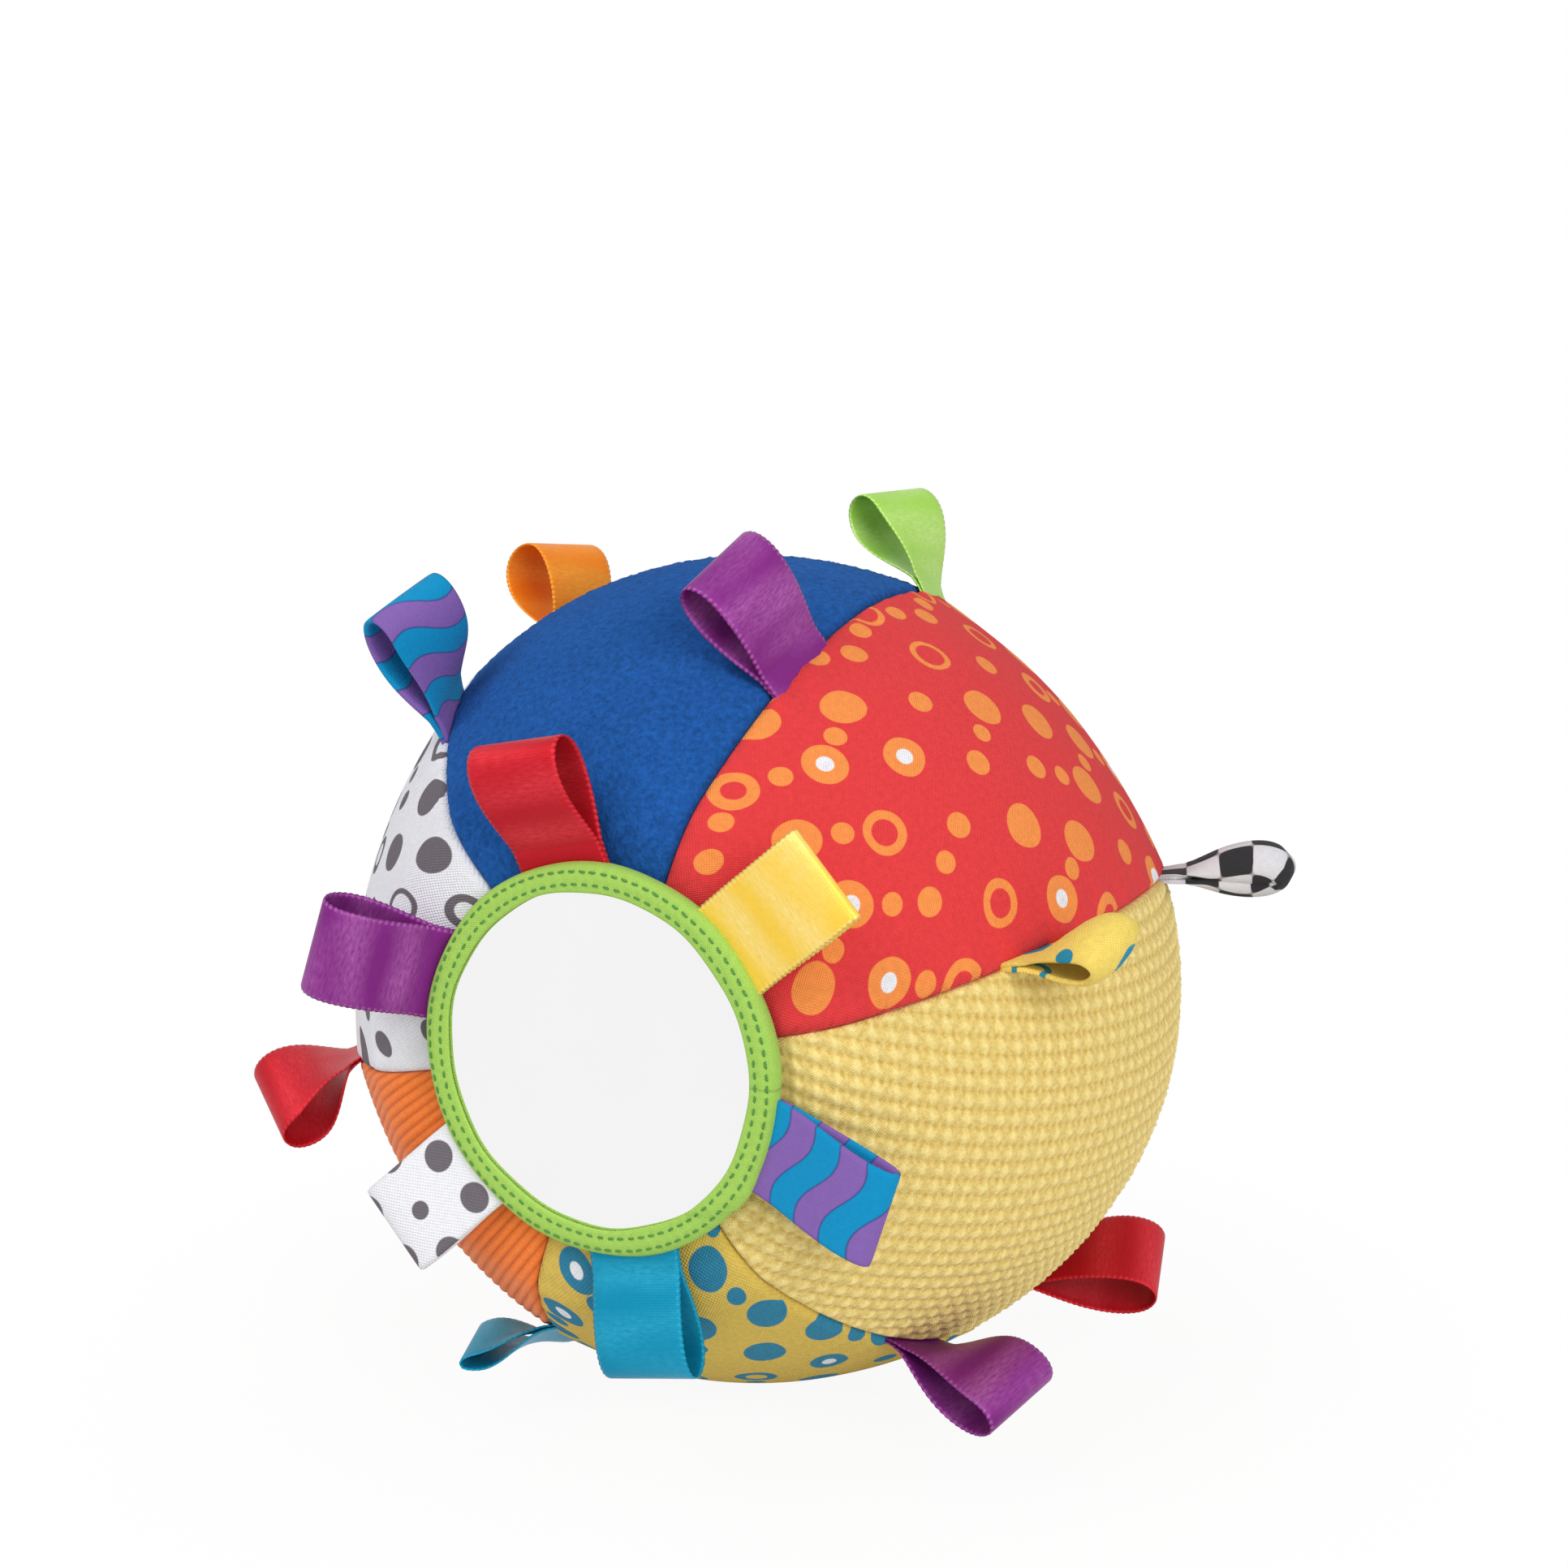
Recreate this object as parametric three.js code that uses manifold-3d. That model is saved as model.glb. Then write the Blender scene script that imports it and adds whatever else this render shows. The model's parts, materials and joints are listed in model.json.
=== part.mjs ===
import * as THREE from "three";
import { mergeVertices } from "three/addons/utils/BufferGeometryUtils.js";
import Module from "manifold-3d";

// Driving sizes in millimetres and degrees. Everything else follows from these.
const ballRadius = 75;
const clothThickness = 1;
const seamGap = 1.1;
const seamAllowance = 6;
const threadWidth = 0.5;
const threadDepth = 2;
const clearance = 0.3;
const footDepth = 0.5;
const panelTipAngle = 2;

const mirrorRadius = 32.6;
const bindingWidth = 4.7;
const mirrorFaceDepth = 9;
const mirrorTilt = 2.5;
const bindingThickness = 0.6;
const backingThickness = 0.4;
const foamThickness = 0.8;
const filmThickness = 0.4;
const stitchInset = 1.2;
const stitchWidth = 0.5;

const ribbonWidth = 17;
const satinThickness = 0.8;
const stripThickness = 1.2;

const rattleRadius = 19;
const rattleWall = 1.8;
const rattleLip = 2;
const beadRadius = 3.2;

// How finely the round shapes are divided.
const panelColumns = 6;
const panelRows = 18;
const discSides = 36;
const rattleSides = 20;
const loopSides = 16;

const wasm = await Module();
wasm.setup();

const rad = THREE.MathUtils.degToRad;
const vec = (x, y, z) => new THREE.Vector3(x, y, z);

// The panels in order round the ball, seen from the mirror, each from its first seam to the next one.
// A negative swell is a cloth that stretches flat between its seams.
const panels = [
  { name: "panel_orange_corduroy", seam: -168, drift: 0, swell: -0.8, color: 0xf08a1c, roughness: 0.95 },
  { name: "panel_yellow_print", seam: -110, drift: 0, swell: -0.8, color: 0xf5c63c, roughness: 0.9 },
  { name: "panel_yellow_waffle", seam: -52, drift: 0, swell: 1.4, color: 0xf6c521, roughness: 0.95 },
  { name: "panel_red_print", seam: 12, drift: 4, swell: -2.2, color: 0xd92f33, roughness: 0.85 },
  { name: "panel_blue_fleece", seam: 70, drift: 0, swell: 0.2, color: 0x2b63c0, roughness: 1 },
  { name: "panel_white_print", seam: 131, drift: 0, swell: -2, color: 0xf4f2ee, roughness: 0.9 },
];

// Seam number n is where panel n starts. Polar angles count from the middle of the mirror.
const seamNumber = { orange: 0, print: 1, waffle: 2, red: 3, blue: 4, white: 5 };
const nearTheta = 61;
const farTheta = 105;

// A loop on a seam leans from upright towards the next seam, or back where the lean is negative.
const seamLoops = [
  { name: "seam_loop_striped", seam: "white", theta: nearTheta, lean: -30, twist: -35,
    length: 24, gap: 5, strip: true, color: 0xe9b3a0 },
  { name: "seam_loop_orange", seam: "white", theta: farTheta, lean: -10, twist: -12,
    length: 22, gap: 11, strip: false, color: 0xf2701d },
  { name: "seam_loop_purple_top", seam: "blue", theta: nearTheta, lean: 50, twist: -8,
    length: 22, gap: 7, strip: false, color: 0x6a3fa0 },
  { name: "seam_loop_green", seam: "blue", theta: farTheta, lean: 50, twist: -30,
    length: 21, gap: 7, strip: false, color: 0x7fb32b },
  { name: "seam_loop_print", seam: "red", theta: nearTheta + 1, lean: 2, twist: 20,
    length: 19, gap: 6, strip: true, color: 0xf5c63c },
  { name: "seam_loop_check", seam: "red", theta: farTheta, lean: -9, twist: 35,
    length: 23, gap: 5, strip: true, color: 0x8a8a8a },
  { name: "seam_loop_purple_low", seam: "waffle", theta: nearTheta + 5, lean: 40, twist: 35,
    length: 23, gap: 7, strip: false, color: 0x6a3fa0 },
  { name: "seam_loop_red_right", seam: "waffle", theta: farTheta, lean: 54, twist: 12,
    length: 26, gap: 8, strip: false, color: 0xd8262c },
  { name: "seam_loop_sky", seam: "print", theta: nearTheta - 3, lean: -54, twist: -12,
    length: 17, gap: 6, strip: false, color: 0x39a9e0 },
  { name: "seam_loop_yellow_back", seam: "print", theta: farTheta + 9, lean: -72, twist: 0,
    length: 19, gap: 4.6, strip: false, color: 0xf7c92b },
  { name: "seam_loop_red_left", seam: "orange", theta: nearTheta - 3, lean: 22, twist: -42,
    length: 19, gap: 8, strip: false, color: 0xd8262c },
  { name: "seam_loop_green_back", seam: "orange", theta: farTheta, lean: -20, twist: 12,
    length: 22, gap: 7, strip: false, color: 0x7fb32b },
];

// A loop at the mirror rises from the plane of the mirror by its lift.
const mirrorLoops = [
  { name: "mirror_loop_red", psi: 101, lift: 16, twist: 0,
    length: 21, gap: 7, strip: false, color: 0xd8262c },
  { name: "mirror_loop_yellow", psi: 41, lift: 6, twist: 0,
    length: 22, gap: 4, strip: false, color: 0xf7c92b },
  { name: "mirror_loop_wavy", psi: -18, lift: 8, twist: 0,
    length: 22, gap: 4, strip: true, color: 0x5a63b8 },
  { name: "mirror_loop_sky", psi: -79, lift: 5, twist: 0,
    length: 20, gap: 5.5, strip: false, color: 0x39a9e0 },
  { name: "mirror_loop_dots", psi: -139, lift: 10, twist: 0,
    length: 19, gap: 4, strip: true, color: 0xf4f2ee },
  { name: "mirror_loop_purple", psi: 161, lift: 36, twist: 0,
    length: 21, gap: 7, strip: false, color: 0x6a3fa0 },
];

// Heights in the mirror's stack, from the cloth of the ball outwards.
const lowerLegBase = clearance;
const lowerLegTop = lowerLegBase + bindingThickness;
const backingBase = lowerLegTop + clearance;
const backingTop = backingBase + backingThickness;
const foamBase = backingTop + clearance;
const foamTop = foamBase + foamThickness;
const filmBase = foamTop + clearance;
const filmTop = filmBase + filmThickness;
const upperLegBase = filmTop + clearance;
const upperLegTop = upperLegBase + bindingThickness;
const discRadius = mirrorRadius - bindingThickness - clearance;

// The ball is pressed flat behind the mirror, so the cloth there lies in a plane.
const seatDistance = ballRadius - mirrorFaceDepth - upperLegTop;
const seatBlend = 4;
const mirrorNormal = vec(-Math.sin(rad(mirrorTilt)), -Math.cos(rad(mirrorTilt)), 0);

// A seam that is pulled aside drifts from its angle at the mirror to a larger one at the girth.
function seamAngle(number, theta) {
  return panels[number].seam + panels[number].drift * Math.sin(rad(theta)) ** 2;
}

function spanOf(number, theta) {
  const start = seamAngle(number, theta);
  const after = (number + 1) % panels.length;
  const next = seamAngle(after, theta) + (after === 0 ? 360 : 0);
  return { start, next, middle: (start + next) / 2, half: (next - start) / 2 };
}

// Joins the round of the ball to the flat of the mirror without a crease.
function smoothLower(a, b) {
  const share = Math.max(seatBlend - Math.abs(a - b), 0) / seatBlend;
  return Math.min(a, b) - share * share * seatBlend / 4;
}

function surfaceRadius(number, theta, psi) {
  const span = spanOf(number, theta);
  const across = (psi - span.middle) / span.half;
  const bulge = panels[number].swell * (1 - across * across) * Math.sin(rad(theta)) ** 2;
  const round = ballRadius + bulge;
  const towardsMirror = onBall(theta, psi, 1).dot(mirrorNormal);
  if (towardsMirror < 0.3) {
    return round;
  }
  return smoothLower(round, seatDistance * Math.cos(rad(mirrorTilt)) / towardsMirror);
}

// A point beside a seam plane: side is +1 after the seam and -1 before it.
function besideSeam(psi, theta, radius, side, offset) {
  const out = radius * Math.sin(rad(theta));
  const along = Math.sqrt(Math.max(out * out - offset * offset, 0));
  const c = Math.cos(rad(psi));
  const s = Math.sin(rad(psi));
  const x = along * c - side * offset * s;
  const z = along * s + side * offset * c;
  return vec(x, -radius * Math.cos(rad(theta)), z);
}

function onBall(theta, psi, radius) {
  const out = radius * Math.sin(rad(theta));
  return vec(out * Math.cos(rad(psi)), -radius * Math.cos(rad(theta)), out * Math.sin(rad(psi)));
}

// The seam allowance is turned in and runs out towards the two ends of the panel.
function allowanceAt(theta) {
  const fullness = THREE.MathUtils.smoothstep(Math.sin(rad(theta)), 0.22, 0.6);
  return clearance + (seamAllowance - clearance) * fullness;
}

// One row across a panel: turned-in edge, face, turned-in edge, at some depth and distance from the seams.
function panelRow(number, theta, depth, offset) {
  const span = spanOf(number, theta);
  const startEdge = edgeFace(number, theta);
  const nextEdge = edgeFace((number + 1) % panels.length, theta);
  const radius = Math.min(startEdge, nextEdge) - depth;
  const halfWidth = radius * Math.sin(rad(theta)) * Math.sin(rad(span.half));
  const beside = Math.min(offset, halfWidth * 0.6);
  const slim = Math.asin(Math.min(beside / (radius * Math.sin(rad(theta))), 1)) * 180 / Math.PI;
  const first = span.start + slim;
  const last = span.next - slim;
  const row = [];
  const turnedIn = clothThickness + allowanceAt(theta);
  row.push(besideSeam(span.start, theta, startEdge - turnedIn, 1, beside));
  for (let i = 0; i <= panelColumns; i++) {
    const psi = first + (last - first) * i / panelColumns;
    row.push(onBall(theta, psi, surfaceRadius(number, theta, psi) - depth));
  }
  row.push(besideSeam(span.next, theta, nextEdge - turnedIn, -1, beside));
  return row;
}

const rowThetas = Array.from({ length: panelRows + 1 },
  (_, step) => panelTipAngle + (180 - 2 * panelTipAngle) * step / panelRows);

function geometryFrom(points, triangles) {
  const geometry = new THREE.BufferGeometry();
  const flat = points.flatMap((p) => [p.x, p.y, p.z]);
  geometry.setAttribute("position", new THREE.Float32BufferAttribute(flat, 3));
  geometry.setIndex(triangles);
  return geometry;
}

// A sheet with thickness between two grids of the same size, closed all round its rim.
function thickSheet(face, back) {
  const rows = face.length;
  const columns = face[0].length;
  const points = [...face.flat(), ...back.flat()];
  const triangles = [];
  const front = (r, c) => r * columns + c;
  const rear = (r, c) => rows * columns + r * columns + c;
  const quad = (a, b, c, d) => triangles.push(a, c, b, a, d, c);
  for (let r = 0; r + 1 < rows; r++) {
    for (let c = 0; c + 1 < columns; c++) {
      quad(front(r, c), front(r, c + 1), front(r + 1, c + 1), front(r + 1, c));
      quad(rear(r, c), rear(r + 1, c), rear(r + 1, c + 1), rear(r, c + 1));
    }
    quad(front(r, 0), front(r + 1, 0), rear(r + 1, 0), rear(r, 0));
    quad(front(r, columns - 1), rear(r, columns - 1), rear(r + 1, columns - 1), front(r + 1, columns - 1));
  }
  for (let c = 0; c + 1 < columns; c++) {
    quad(front(0, c), rear(0, c), rear(0, c + 1), front(0, c + 1));
    quad(front(rows - 1, c), front(rows - 1, c + 1), rear(rows - 1, c + 1), rear(rows - 1, c));
  }
  return geometryFrom(points, triangles);
}

// A solid through rings of points, closed by a point at each end.
function ringSolid(rings, startPoint, endPoint) {
  const count = rings[0].length;
  const points = [...rings.flat(), startPoint, endPoint];
  const start = points.length - 2;
  const end = points.length - 1;
  const triangles = [];
  const last = (rings.length - 1) * count;
  for (let c = 0; c < count; c++) {
    const n = (c + 1) % count;
    for (let r = 0; r + 1 < rings.length; r++) {
      const low = r * count;
      const high = low + count;
      triangles.push(low + c, low + n, high + n, low + c, high + n, high + c);
    }
    triangles.push(start, n, c);
    triangles.push(end, last + c, last + n);
  }
  return geometryFrom(points, triangles);
}

function solidOf(geometry) {
  const bare = geometry.clone();
  bare.deleteAttribute("normal");
  bare.deleteAttribute("uv");
  const joined = mergeVertices(bare, 1e-4);
  const mesh = new wasm.Mesh({
    numProp: 3,
    vertProperties: new Float32Array(joined.attributes.position.array),
    triVerts: new Uint32Array(joined.index.array),
  });
  return new wasm.Manifold(mesh);
}

function geometryOf(solid) {
  const mesh = solid.getMesh();
  const geometry = new THREE.BufferGeometry();
  geometry.setAttribute("position", new THREE.BufferAttribute(new Float32Array(mesh.vertProperties), 3));
  geometry.setIndex(new THREE.BufferAttribute(new Uint32Array(mesh.triVerts), 1));
  return geometry;
}

function cut(geometry, tool) {
  return geometryOf(solidOf(geometry).subtract(solidOf(tool)));
}

function piece(name, geometry, color, roughness, metalness = 0) {
  const shaded = geometry.index ? geometry : mergeVertices(geometry);
  shaded.computeVertexNormals();
  const mesh = new THREE.Mesh(shaded, new THREE.MeshStandardMaterial({ color, roughness, metalness }));
  mesh.name = name;
  return mesh;
}

// A closed profile turned about the mirror's axis. Profile points are distance from the axis and height.
function turned(profile, sides) {
  const closed = [...profile, profile[0]];
  return new THREE.LatheGeometry(closed.map(([r, h]) => new THREE.Vector2(r, h)), sides);
}

// Panels

const edgeFace = (number, theta) => surfaceRadius(number, theta, seamAngle(number, theta));

function panelGrid(number, depth, offset) {
  return rowThetas.map((theta) => panelRow(number, theta, depth, offset));
}

const faceGrids = panels.map((panel, number) => panelGrid(number, 0, seamGap / 2));
const lowest = Math.min(...faceGrids.flat(2).map((p) => p.z));
const floorHeight = lowest + footDepth;
const centreHeight = -floorHeight;

const ball = new THREE.Group();
ball.name = "ball";
ball.position.z = centreHeight;

const floorBlock = new THREE.BoxGeometry(ballRadius * 2, ballRadius * 2, ballRadius);
floorBlock.translate(0, 0, floorHeight - ballRadius / 2);

panels.forEach((panel, number) => {
  const back = panelGrid(number, clothThickness, seamGap / 2 + clothThickness);
  const whole = thickSheet(faceGrids[number], back);
  ball.add(piece(panel.name, cut(whole, floorBlock), panel.color, panel.roughness));
});

// Seam threads lie in the gap between two turned-in edges.

panels.forEach((panel, number) => {
  const half = threadWidth / 2;
  const radiusAt = (theta) => edgeFace(number, theta) - threadDepth;
  const rings = rowThetas.slice(2, -2).map((theta) => {
    const middle = radiusAt(theta);
    return [
      besideSeam(seamAngle(number, theta), theta, middle + half, 1, half),
      besideSeam(seamAngle(number, theta), theta, middle + half, -1, half),
      besideSeam(seamAngle(number, theta), theta, middle - half, -1, half),
      besideSeam(seamAngle(number, theta), theta, middle - half, 1, half),
    ];
  });
  const endOf = (ring) => ring.reduce((sum, p) => sum.add(p), vec(0, 0, 0)).divideScalar(ring.length);
  const thread = ringSolid(rings, endOf(rings[0]), endOf(rings.at(-1)));
  ball.add(piece(`seam_thread_${number + 1}`, thread, 0xe8e4da, 0.8));
});

// Filling in two halves, grooved for the turned-in edges and hollow for the rattle.

function fillingRing(theta) {
  const ring = [];
  const offset = seamGap / 2 + clothThickness + clearance;
  panels.forEach((panel, number) => {
    const span = spanOf(number, theta);
    const startEdge = edgeFace(number, theta);
    const nextEdge = edgeFace((number + 1) % panels.length, theta);
    const groove = clothThickness + allowanceAt(theta) + 2 * clearance;
    ring.push(besideSeam(span.start, theta, startEdge - groove, 1, offset));
    const edge = Math.min(startEdge, nextEdge) - clothThickness - clearance;
    const slim = Math.asin(offset / (edge * Math.sin(rad(theta)))) * 180 / Math.PI;
    const first = span.start + slim;
    const last = span.next - slim;
    for (let i = 0; i <= panelColumns; i++) {
      const psi = first + (last - first) * i / panelColumns;
      ring.push(onBall(theta, psi, surfaceRadius(number, theta, psi) - clothThickness - clearance));
    }
    ring.push(besideSeam(span.next, theta, nextEdge - groove, -1, offset));
  });
  return ring;
}

const rattleRoom = new THREE.SphereGeometry(rattleRadius + clearance, rattleSides, rattleSides / 2);

function fillingHalf(thetas) {
  const rings = thetas.map((theta) => fillingRing(theta).reverse());
  const axisPoint = (ring) => {
    const deepest = ring.reduce((a, b) => (Math.abs(a.y) < Math.abs(b.y) ? a : b));
    return vec(0, deepest.y, 0);
  };
  return ringSolid(rings, axisPoint(rings[0]), axisPoint(rings.at(-1)));
}

const equatorGap = THREE.MathUtils.radToDeg(clearance / ballRadius);
const frontEnd = 90 - equatorGap;
const backStart = 90 + equatorGap;
const frontThetas = rowThetas.filter((theta) => theta > panelTipAngle && theta < frontEnd);
const backThetas = rowThetas.filter((theta) => theta > backStart && theta < 180 - panelTipAngle);
const fillingFront = fillingHalf([...frontThetas, frontEnd]);
const fillingBack = fillingHalf([backStart, ...backThetas]);
ball.add(piece("filling_front", cut(fillingFront, rattleRoom), 0xf2f0ea, 1));
ball.add(piece("filling_back", cut(fillingBack, rattleRoom), 0xf2f0ea, 1));

// Rattle capsule: two cups that snap together, one lip inside the other.

const insideRadius = rattleRadius - rattleWall;
const lipRadius = rattleRadius - rattleWall / 2;
const capsuleInside = 0.97 * insideRadius;

function arc(radius, fromAngle, toAngle, steps) {
  const points = [];
  for (let i = 0; i <= steps; i++) {
    const angle = rad(fromAngle + (toAngle - fromAngle) * i / steps);
    points.push([radius * Math.cos(angle), radius * Math.sin(angle)]);
  }
  return points;
}

const lipAngle = THREE.MathUtils.radToDeg(Math.asin(rattleLip / insideRadius));
const rimAngle = THREE.MathUtils.radToDeg(Math.asin(clearance / rattleRadius));
const lipRise = rattleLip + clearance;

const cupWithLip = [
  ...arc(rattleRadius, 90, rimAngle, 6),
  [lipRadius - clearance / 2, clearance],
  [lipRadius - clearance / 2, -rattleLip],
  [insideRadius, -rattleLip],
  ...arc(insideRadius, rimAngle, 90, 6),
];
const cupWithSeat = [
  ...arc(insideRadius, 90, lipAngle + 3 * rimAngle, 5),
  [lipRadius + clearance / 2, lipRise],
  [lipRadius + clearance / 2, 0],
  ...arc(rattleRadius, 0, 90, 6),
];

const frontCup = piece("rattle_shell_front", turned(cupWithLip.reverse(), rattleSides), 0xd9dde2, 0.4);
frontCup.rotation.x = Math.PI;
const backCup = piece("rattle_shell_back", turned(cupWithSeat, rattleSides), 0xd9dde2, 0.4);
ball.add(frontCup, backCup);

// Beads rest side by side in the bottom of the capsule.

const beadSpread = (beadRadius + clearance) / Math.cos(rad(30));
const beadReach = capsuleInside - beadRadius - clearance;
const beadDrop = Math.sqrt(beadReach ** 2 - beadSpread ** 2);
[90, 210, 330].forEach((turn, number) => {
  const bead = piece(`rattle_bead_${number + 1}`, new THREE.SphereGeometry(beadRadius, 10, 6), 0xd23a3a, 0.35);
  bead.position.set(beadSpread * Math.cos(rad(turn)), beadSpread * Math.sin(rad(turn)), -beadDrop);
  ball.add(bead);
});

// Mirror: backing cloth, foam, film and the binding folded round their edges. Height runs out from the ball.

const mirrorSeat = new THREE.Group();
mirrorSeat.name = "mirror_seat";
mirrorSeat.position.y = -seatDistance;
mirrorSeat.rotation.z = -rad(mirrorTilt);
const mirror = new THREE.Group();
mirror.name = "mirror";
mirror.rotation.x = Math.PI;
mirrorSeat.add(mirror);
ball.add(mirrorSeat);

function disc(name, radius, base, top, color, roughness, metalness = 0) {
  const solid = new THREE.CylinderGeometry(radius, radius, top - base, discSides);
  solid.translate(0, (top + base) / 2, 0);
  return piece(name, solid, color, roughness, metalness);
}

mirror.add(disc("mirror_backing", discRadius, backingBase, backingTop, 0xe6e2da, 0.95));
mirror.add(disc("mirror_foam", discRadius, foamBase, foamTop, 0xeeeeea, 0.95));
mirror.add(disc("mirror_film", discRadius, filmBase, filmTop, 0xe4e7ea, 0.08, 1));

const bindingInner = mirrorRadius - bindingWidth;
const bindingCorner = (upperLegTop - lowerLegBase) / 3;
const bindingProfile = [
  [bindingInner, lowerLegBase],
  [mirrorRadius - bindingCorner, lowerLegBase],
  [mirrorRadius, lowerLegBase + bindingCorner],
  [mirrorRadius, upperLegTop - bindingCorner],
  [mirrorRadius - bindingCorner, upperLegTop],
  [bindingInner, upperLegTop],
  [bindingInner, upperLegBase],
  [discRadius + clearance, upperLegBase],
  [discRadius + clearance, lowerLegTop],
  [bindingInner, lowerLegTop],
];
mirror.add(piece("mirror_binding", turned(bindingProfile, discSides), 0x9cc63a, 0.7));

function stitchRing(name, radius) {
  const ring = new THREE.TorusGeometry(radius, stitchWidth / 2, 4, discSides);
  ring.rotateX(Math.PI / 2);
  ring.translate(0, upperLegTop + clearance + stitchWidth / 2, 0);
  return piece(name, ring, 0x4f7a1e, 0.6);
}

mirror.add(stitchRing("mirror_stitch_outer", mirrorRadius - bindingCorner));
mirror.add(stitchRing("mirror_stitch_inner", bindingInner + stitchInset));

// Loops: a ribbon folded on itself and sewn in by its two ends, so the eye is a drop that closes at the root.

function loopOutline(length, gap, thickness) {
  const rootStart = clearance;
  const neck = 2.6 * thickness + clearance;
  const roundness = 1.4;
  const drop = (t) => Math.sin(t) * Math.sin(t / 2) ** roundness;
  const widest = drop(2 * Math.atan(Math.sqrt(1 + roundness)));
  const insideAt = (t) => {
    const x = neck + (length - thickness - neck) * (1 - Math.cos(t)) / 2;
    return new THREE.Vector2(x, gap / 2 * drop(t) / widest);
  };
  const inside = [];
  const outside = [];
  for (let i = 1; i < loopSides; i++) {
    const t = 2 * Math.PI * i / loopSides;
    const along = insideAt(t + 0.01).sub(insideAt(t - 0.01)).normalize();
    const here = insideAt(t);
    inside.push(here);
    outside.push(here.clone().add(new THREE.Vector2(-along.y, along.x).multiplyScalar(thickness)));
  }
  const rootHalf = rootStart / 2;
  const outline = [
    new THREE.Vector2(rootStart, rootHalf),
    ...outside,
    new THREE.Vector2(rootStart, -rootHalf),
  ];
  const eye = [new THREE.Vector2(neck, 0), ...inside.reverse()];
  const shape = new THREE.Shape(outline);
  shape.holes.push(new THREE.Path(eye));
  return shape;
}

// Turns a ribbon about its own length, from nothing at the root to the whole twist near the tip.
function twistLoop(solid, length, twist) {
  const position = solid.getAttribute("position");
  for (let i = 0; i < position.count; i++) {
    const share = THREE.MathUtils.smoothstep(position.getX(i), 0, length * 0.8);
    const angle = rad(twist) * share;
    const y = position.getY(i);
    const z = position.getZ(i);
    position.setY(i, y * Math.cos(angle) - z * Math.sin(angle));
    position.setZ(i, z * Math.cos(angle) + y * Math.sin(angle));
  }
}

function loopPiece(loop, root, out, width) {
  const thickness = loop.strip ? stripThickness : satinThickness;
  const shape = loopOutline(loop.length, loop.gap, thickness);
  const solid = new THREE.ExtrudeGeometry(shape, { depth: ribbonWidth, bevelEnabled: false });
  solid.translate(0, 0, -ribbonWidth / 2);
  twistLoop(solid, loop.length, loop.twist);
  const mesh = piece(loop.name, solid, loop.color, loop.strip ? 0.9 : 0.45);
  const side = vec(0, 0, 0).crossVectors(width, out);
  mesh.position.copy(root);
  mesh.quaternion.setFromRotationMatrix(new THREE.Matrix4().makeBasis(out, side, width));
  return mesh;
}

seamLoops.forEach((loop) => {
  const psi = seamAngle(seamNumber[loop.seam], loop.theta);
  const normal = onBall(loop.theta, psi, 1);
  const width = onBall(loop.theta + 90, psi, 1);
  const towardsNext = vec(-Math.sin(rad(psi)), 0, Math.cos(rad(psi)));
  const out = normal.clone().multiplyScalar(Math.cos(rad(loop.lean)));
  out.addScaledVector(towardsNext, Math.sin(rad(loop.lean)));
  const root = normal.clone().multiplyScalar(ballRadius);
  ball.add(loopPiece(loop, root, out, width));
});

// A mirror loop comes out from under the binding, so its root is just past the rim.
const loopRootRadius = mirrorRadius + clearance;
const loopRootHeight = (lowerLegBase + upperLegTop) / 2;

mirrorLoops.forEach((loop) => {
  const radial = vec(Math.cos(rad(loop.psi)), 0, -Math.sin(rad(loop.psi)));
  const out = radial.clone().multiplyScalar(Math.cos(rad(loop.lift)));
  out.y = Math.sin(rad(loop.lift));
  const width = vec(-Math.sin(rad(loop.psi)), 0, -Math.cos(rad(loop.psi)));
  const root = radial.multiplyScalar(loopRootRadius);
  root.y = loopRootHeight;
  mirror.add(loopPiece(loop, root, out, width));
});

const part = new THREE.Group();
part.name = "fabric_ball";
part.add(ball);
part.updateMatrixWorld(true);

export default part;
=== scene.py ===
import json
import math
import bmesh
import bpy
import numpy as np
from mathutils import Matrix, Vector


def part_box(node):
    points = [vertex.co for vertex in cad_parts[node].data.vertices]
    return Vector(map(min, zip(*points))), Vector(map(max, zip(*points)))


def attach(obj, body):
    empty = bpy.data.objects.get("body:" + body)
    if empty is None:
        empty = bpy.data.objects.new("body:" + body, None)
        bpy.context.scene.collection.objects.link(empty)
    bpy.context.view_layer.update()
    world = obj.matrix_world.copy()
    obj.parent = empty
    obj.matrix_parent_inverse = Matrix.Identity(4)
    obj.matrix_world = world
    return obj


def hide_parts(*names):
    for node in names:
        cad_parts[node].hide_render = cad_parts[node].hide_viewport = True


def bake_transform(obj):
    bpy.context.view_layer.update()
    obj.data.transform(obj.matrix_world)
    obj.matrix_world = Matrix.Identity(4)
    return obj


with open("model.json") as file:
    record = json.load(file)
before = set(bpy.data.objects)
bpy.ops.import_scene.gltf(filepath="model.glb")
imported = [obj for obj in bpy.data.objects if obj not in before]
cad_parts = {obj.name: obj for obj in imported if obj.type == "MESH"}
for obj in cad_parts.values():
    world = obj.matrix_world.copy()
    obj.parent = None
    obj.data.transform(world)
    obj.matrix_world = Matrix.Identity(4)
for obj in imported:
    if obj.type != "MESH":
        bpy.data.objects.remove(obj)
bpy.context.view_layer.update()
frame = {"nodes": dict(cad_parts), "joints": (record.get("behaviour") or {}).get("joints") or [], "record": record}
nodes = frame["nodes"]
hinges = {joint["child"]: joint for joint in frame["joints"]}
mm = 0.001
flatUnit = 100  # millimetres to one unit of the flat cloth's map
low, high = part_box("rattle_shell_front")
centreHeight = (low.z + high.z) / 2 / mm
print("frame loaded, ball centre", round(centreHeight, 2), "mm above the floor")


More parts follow.
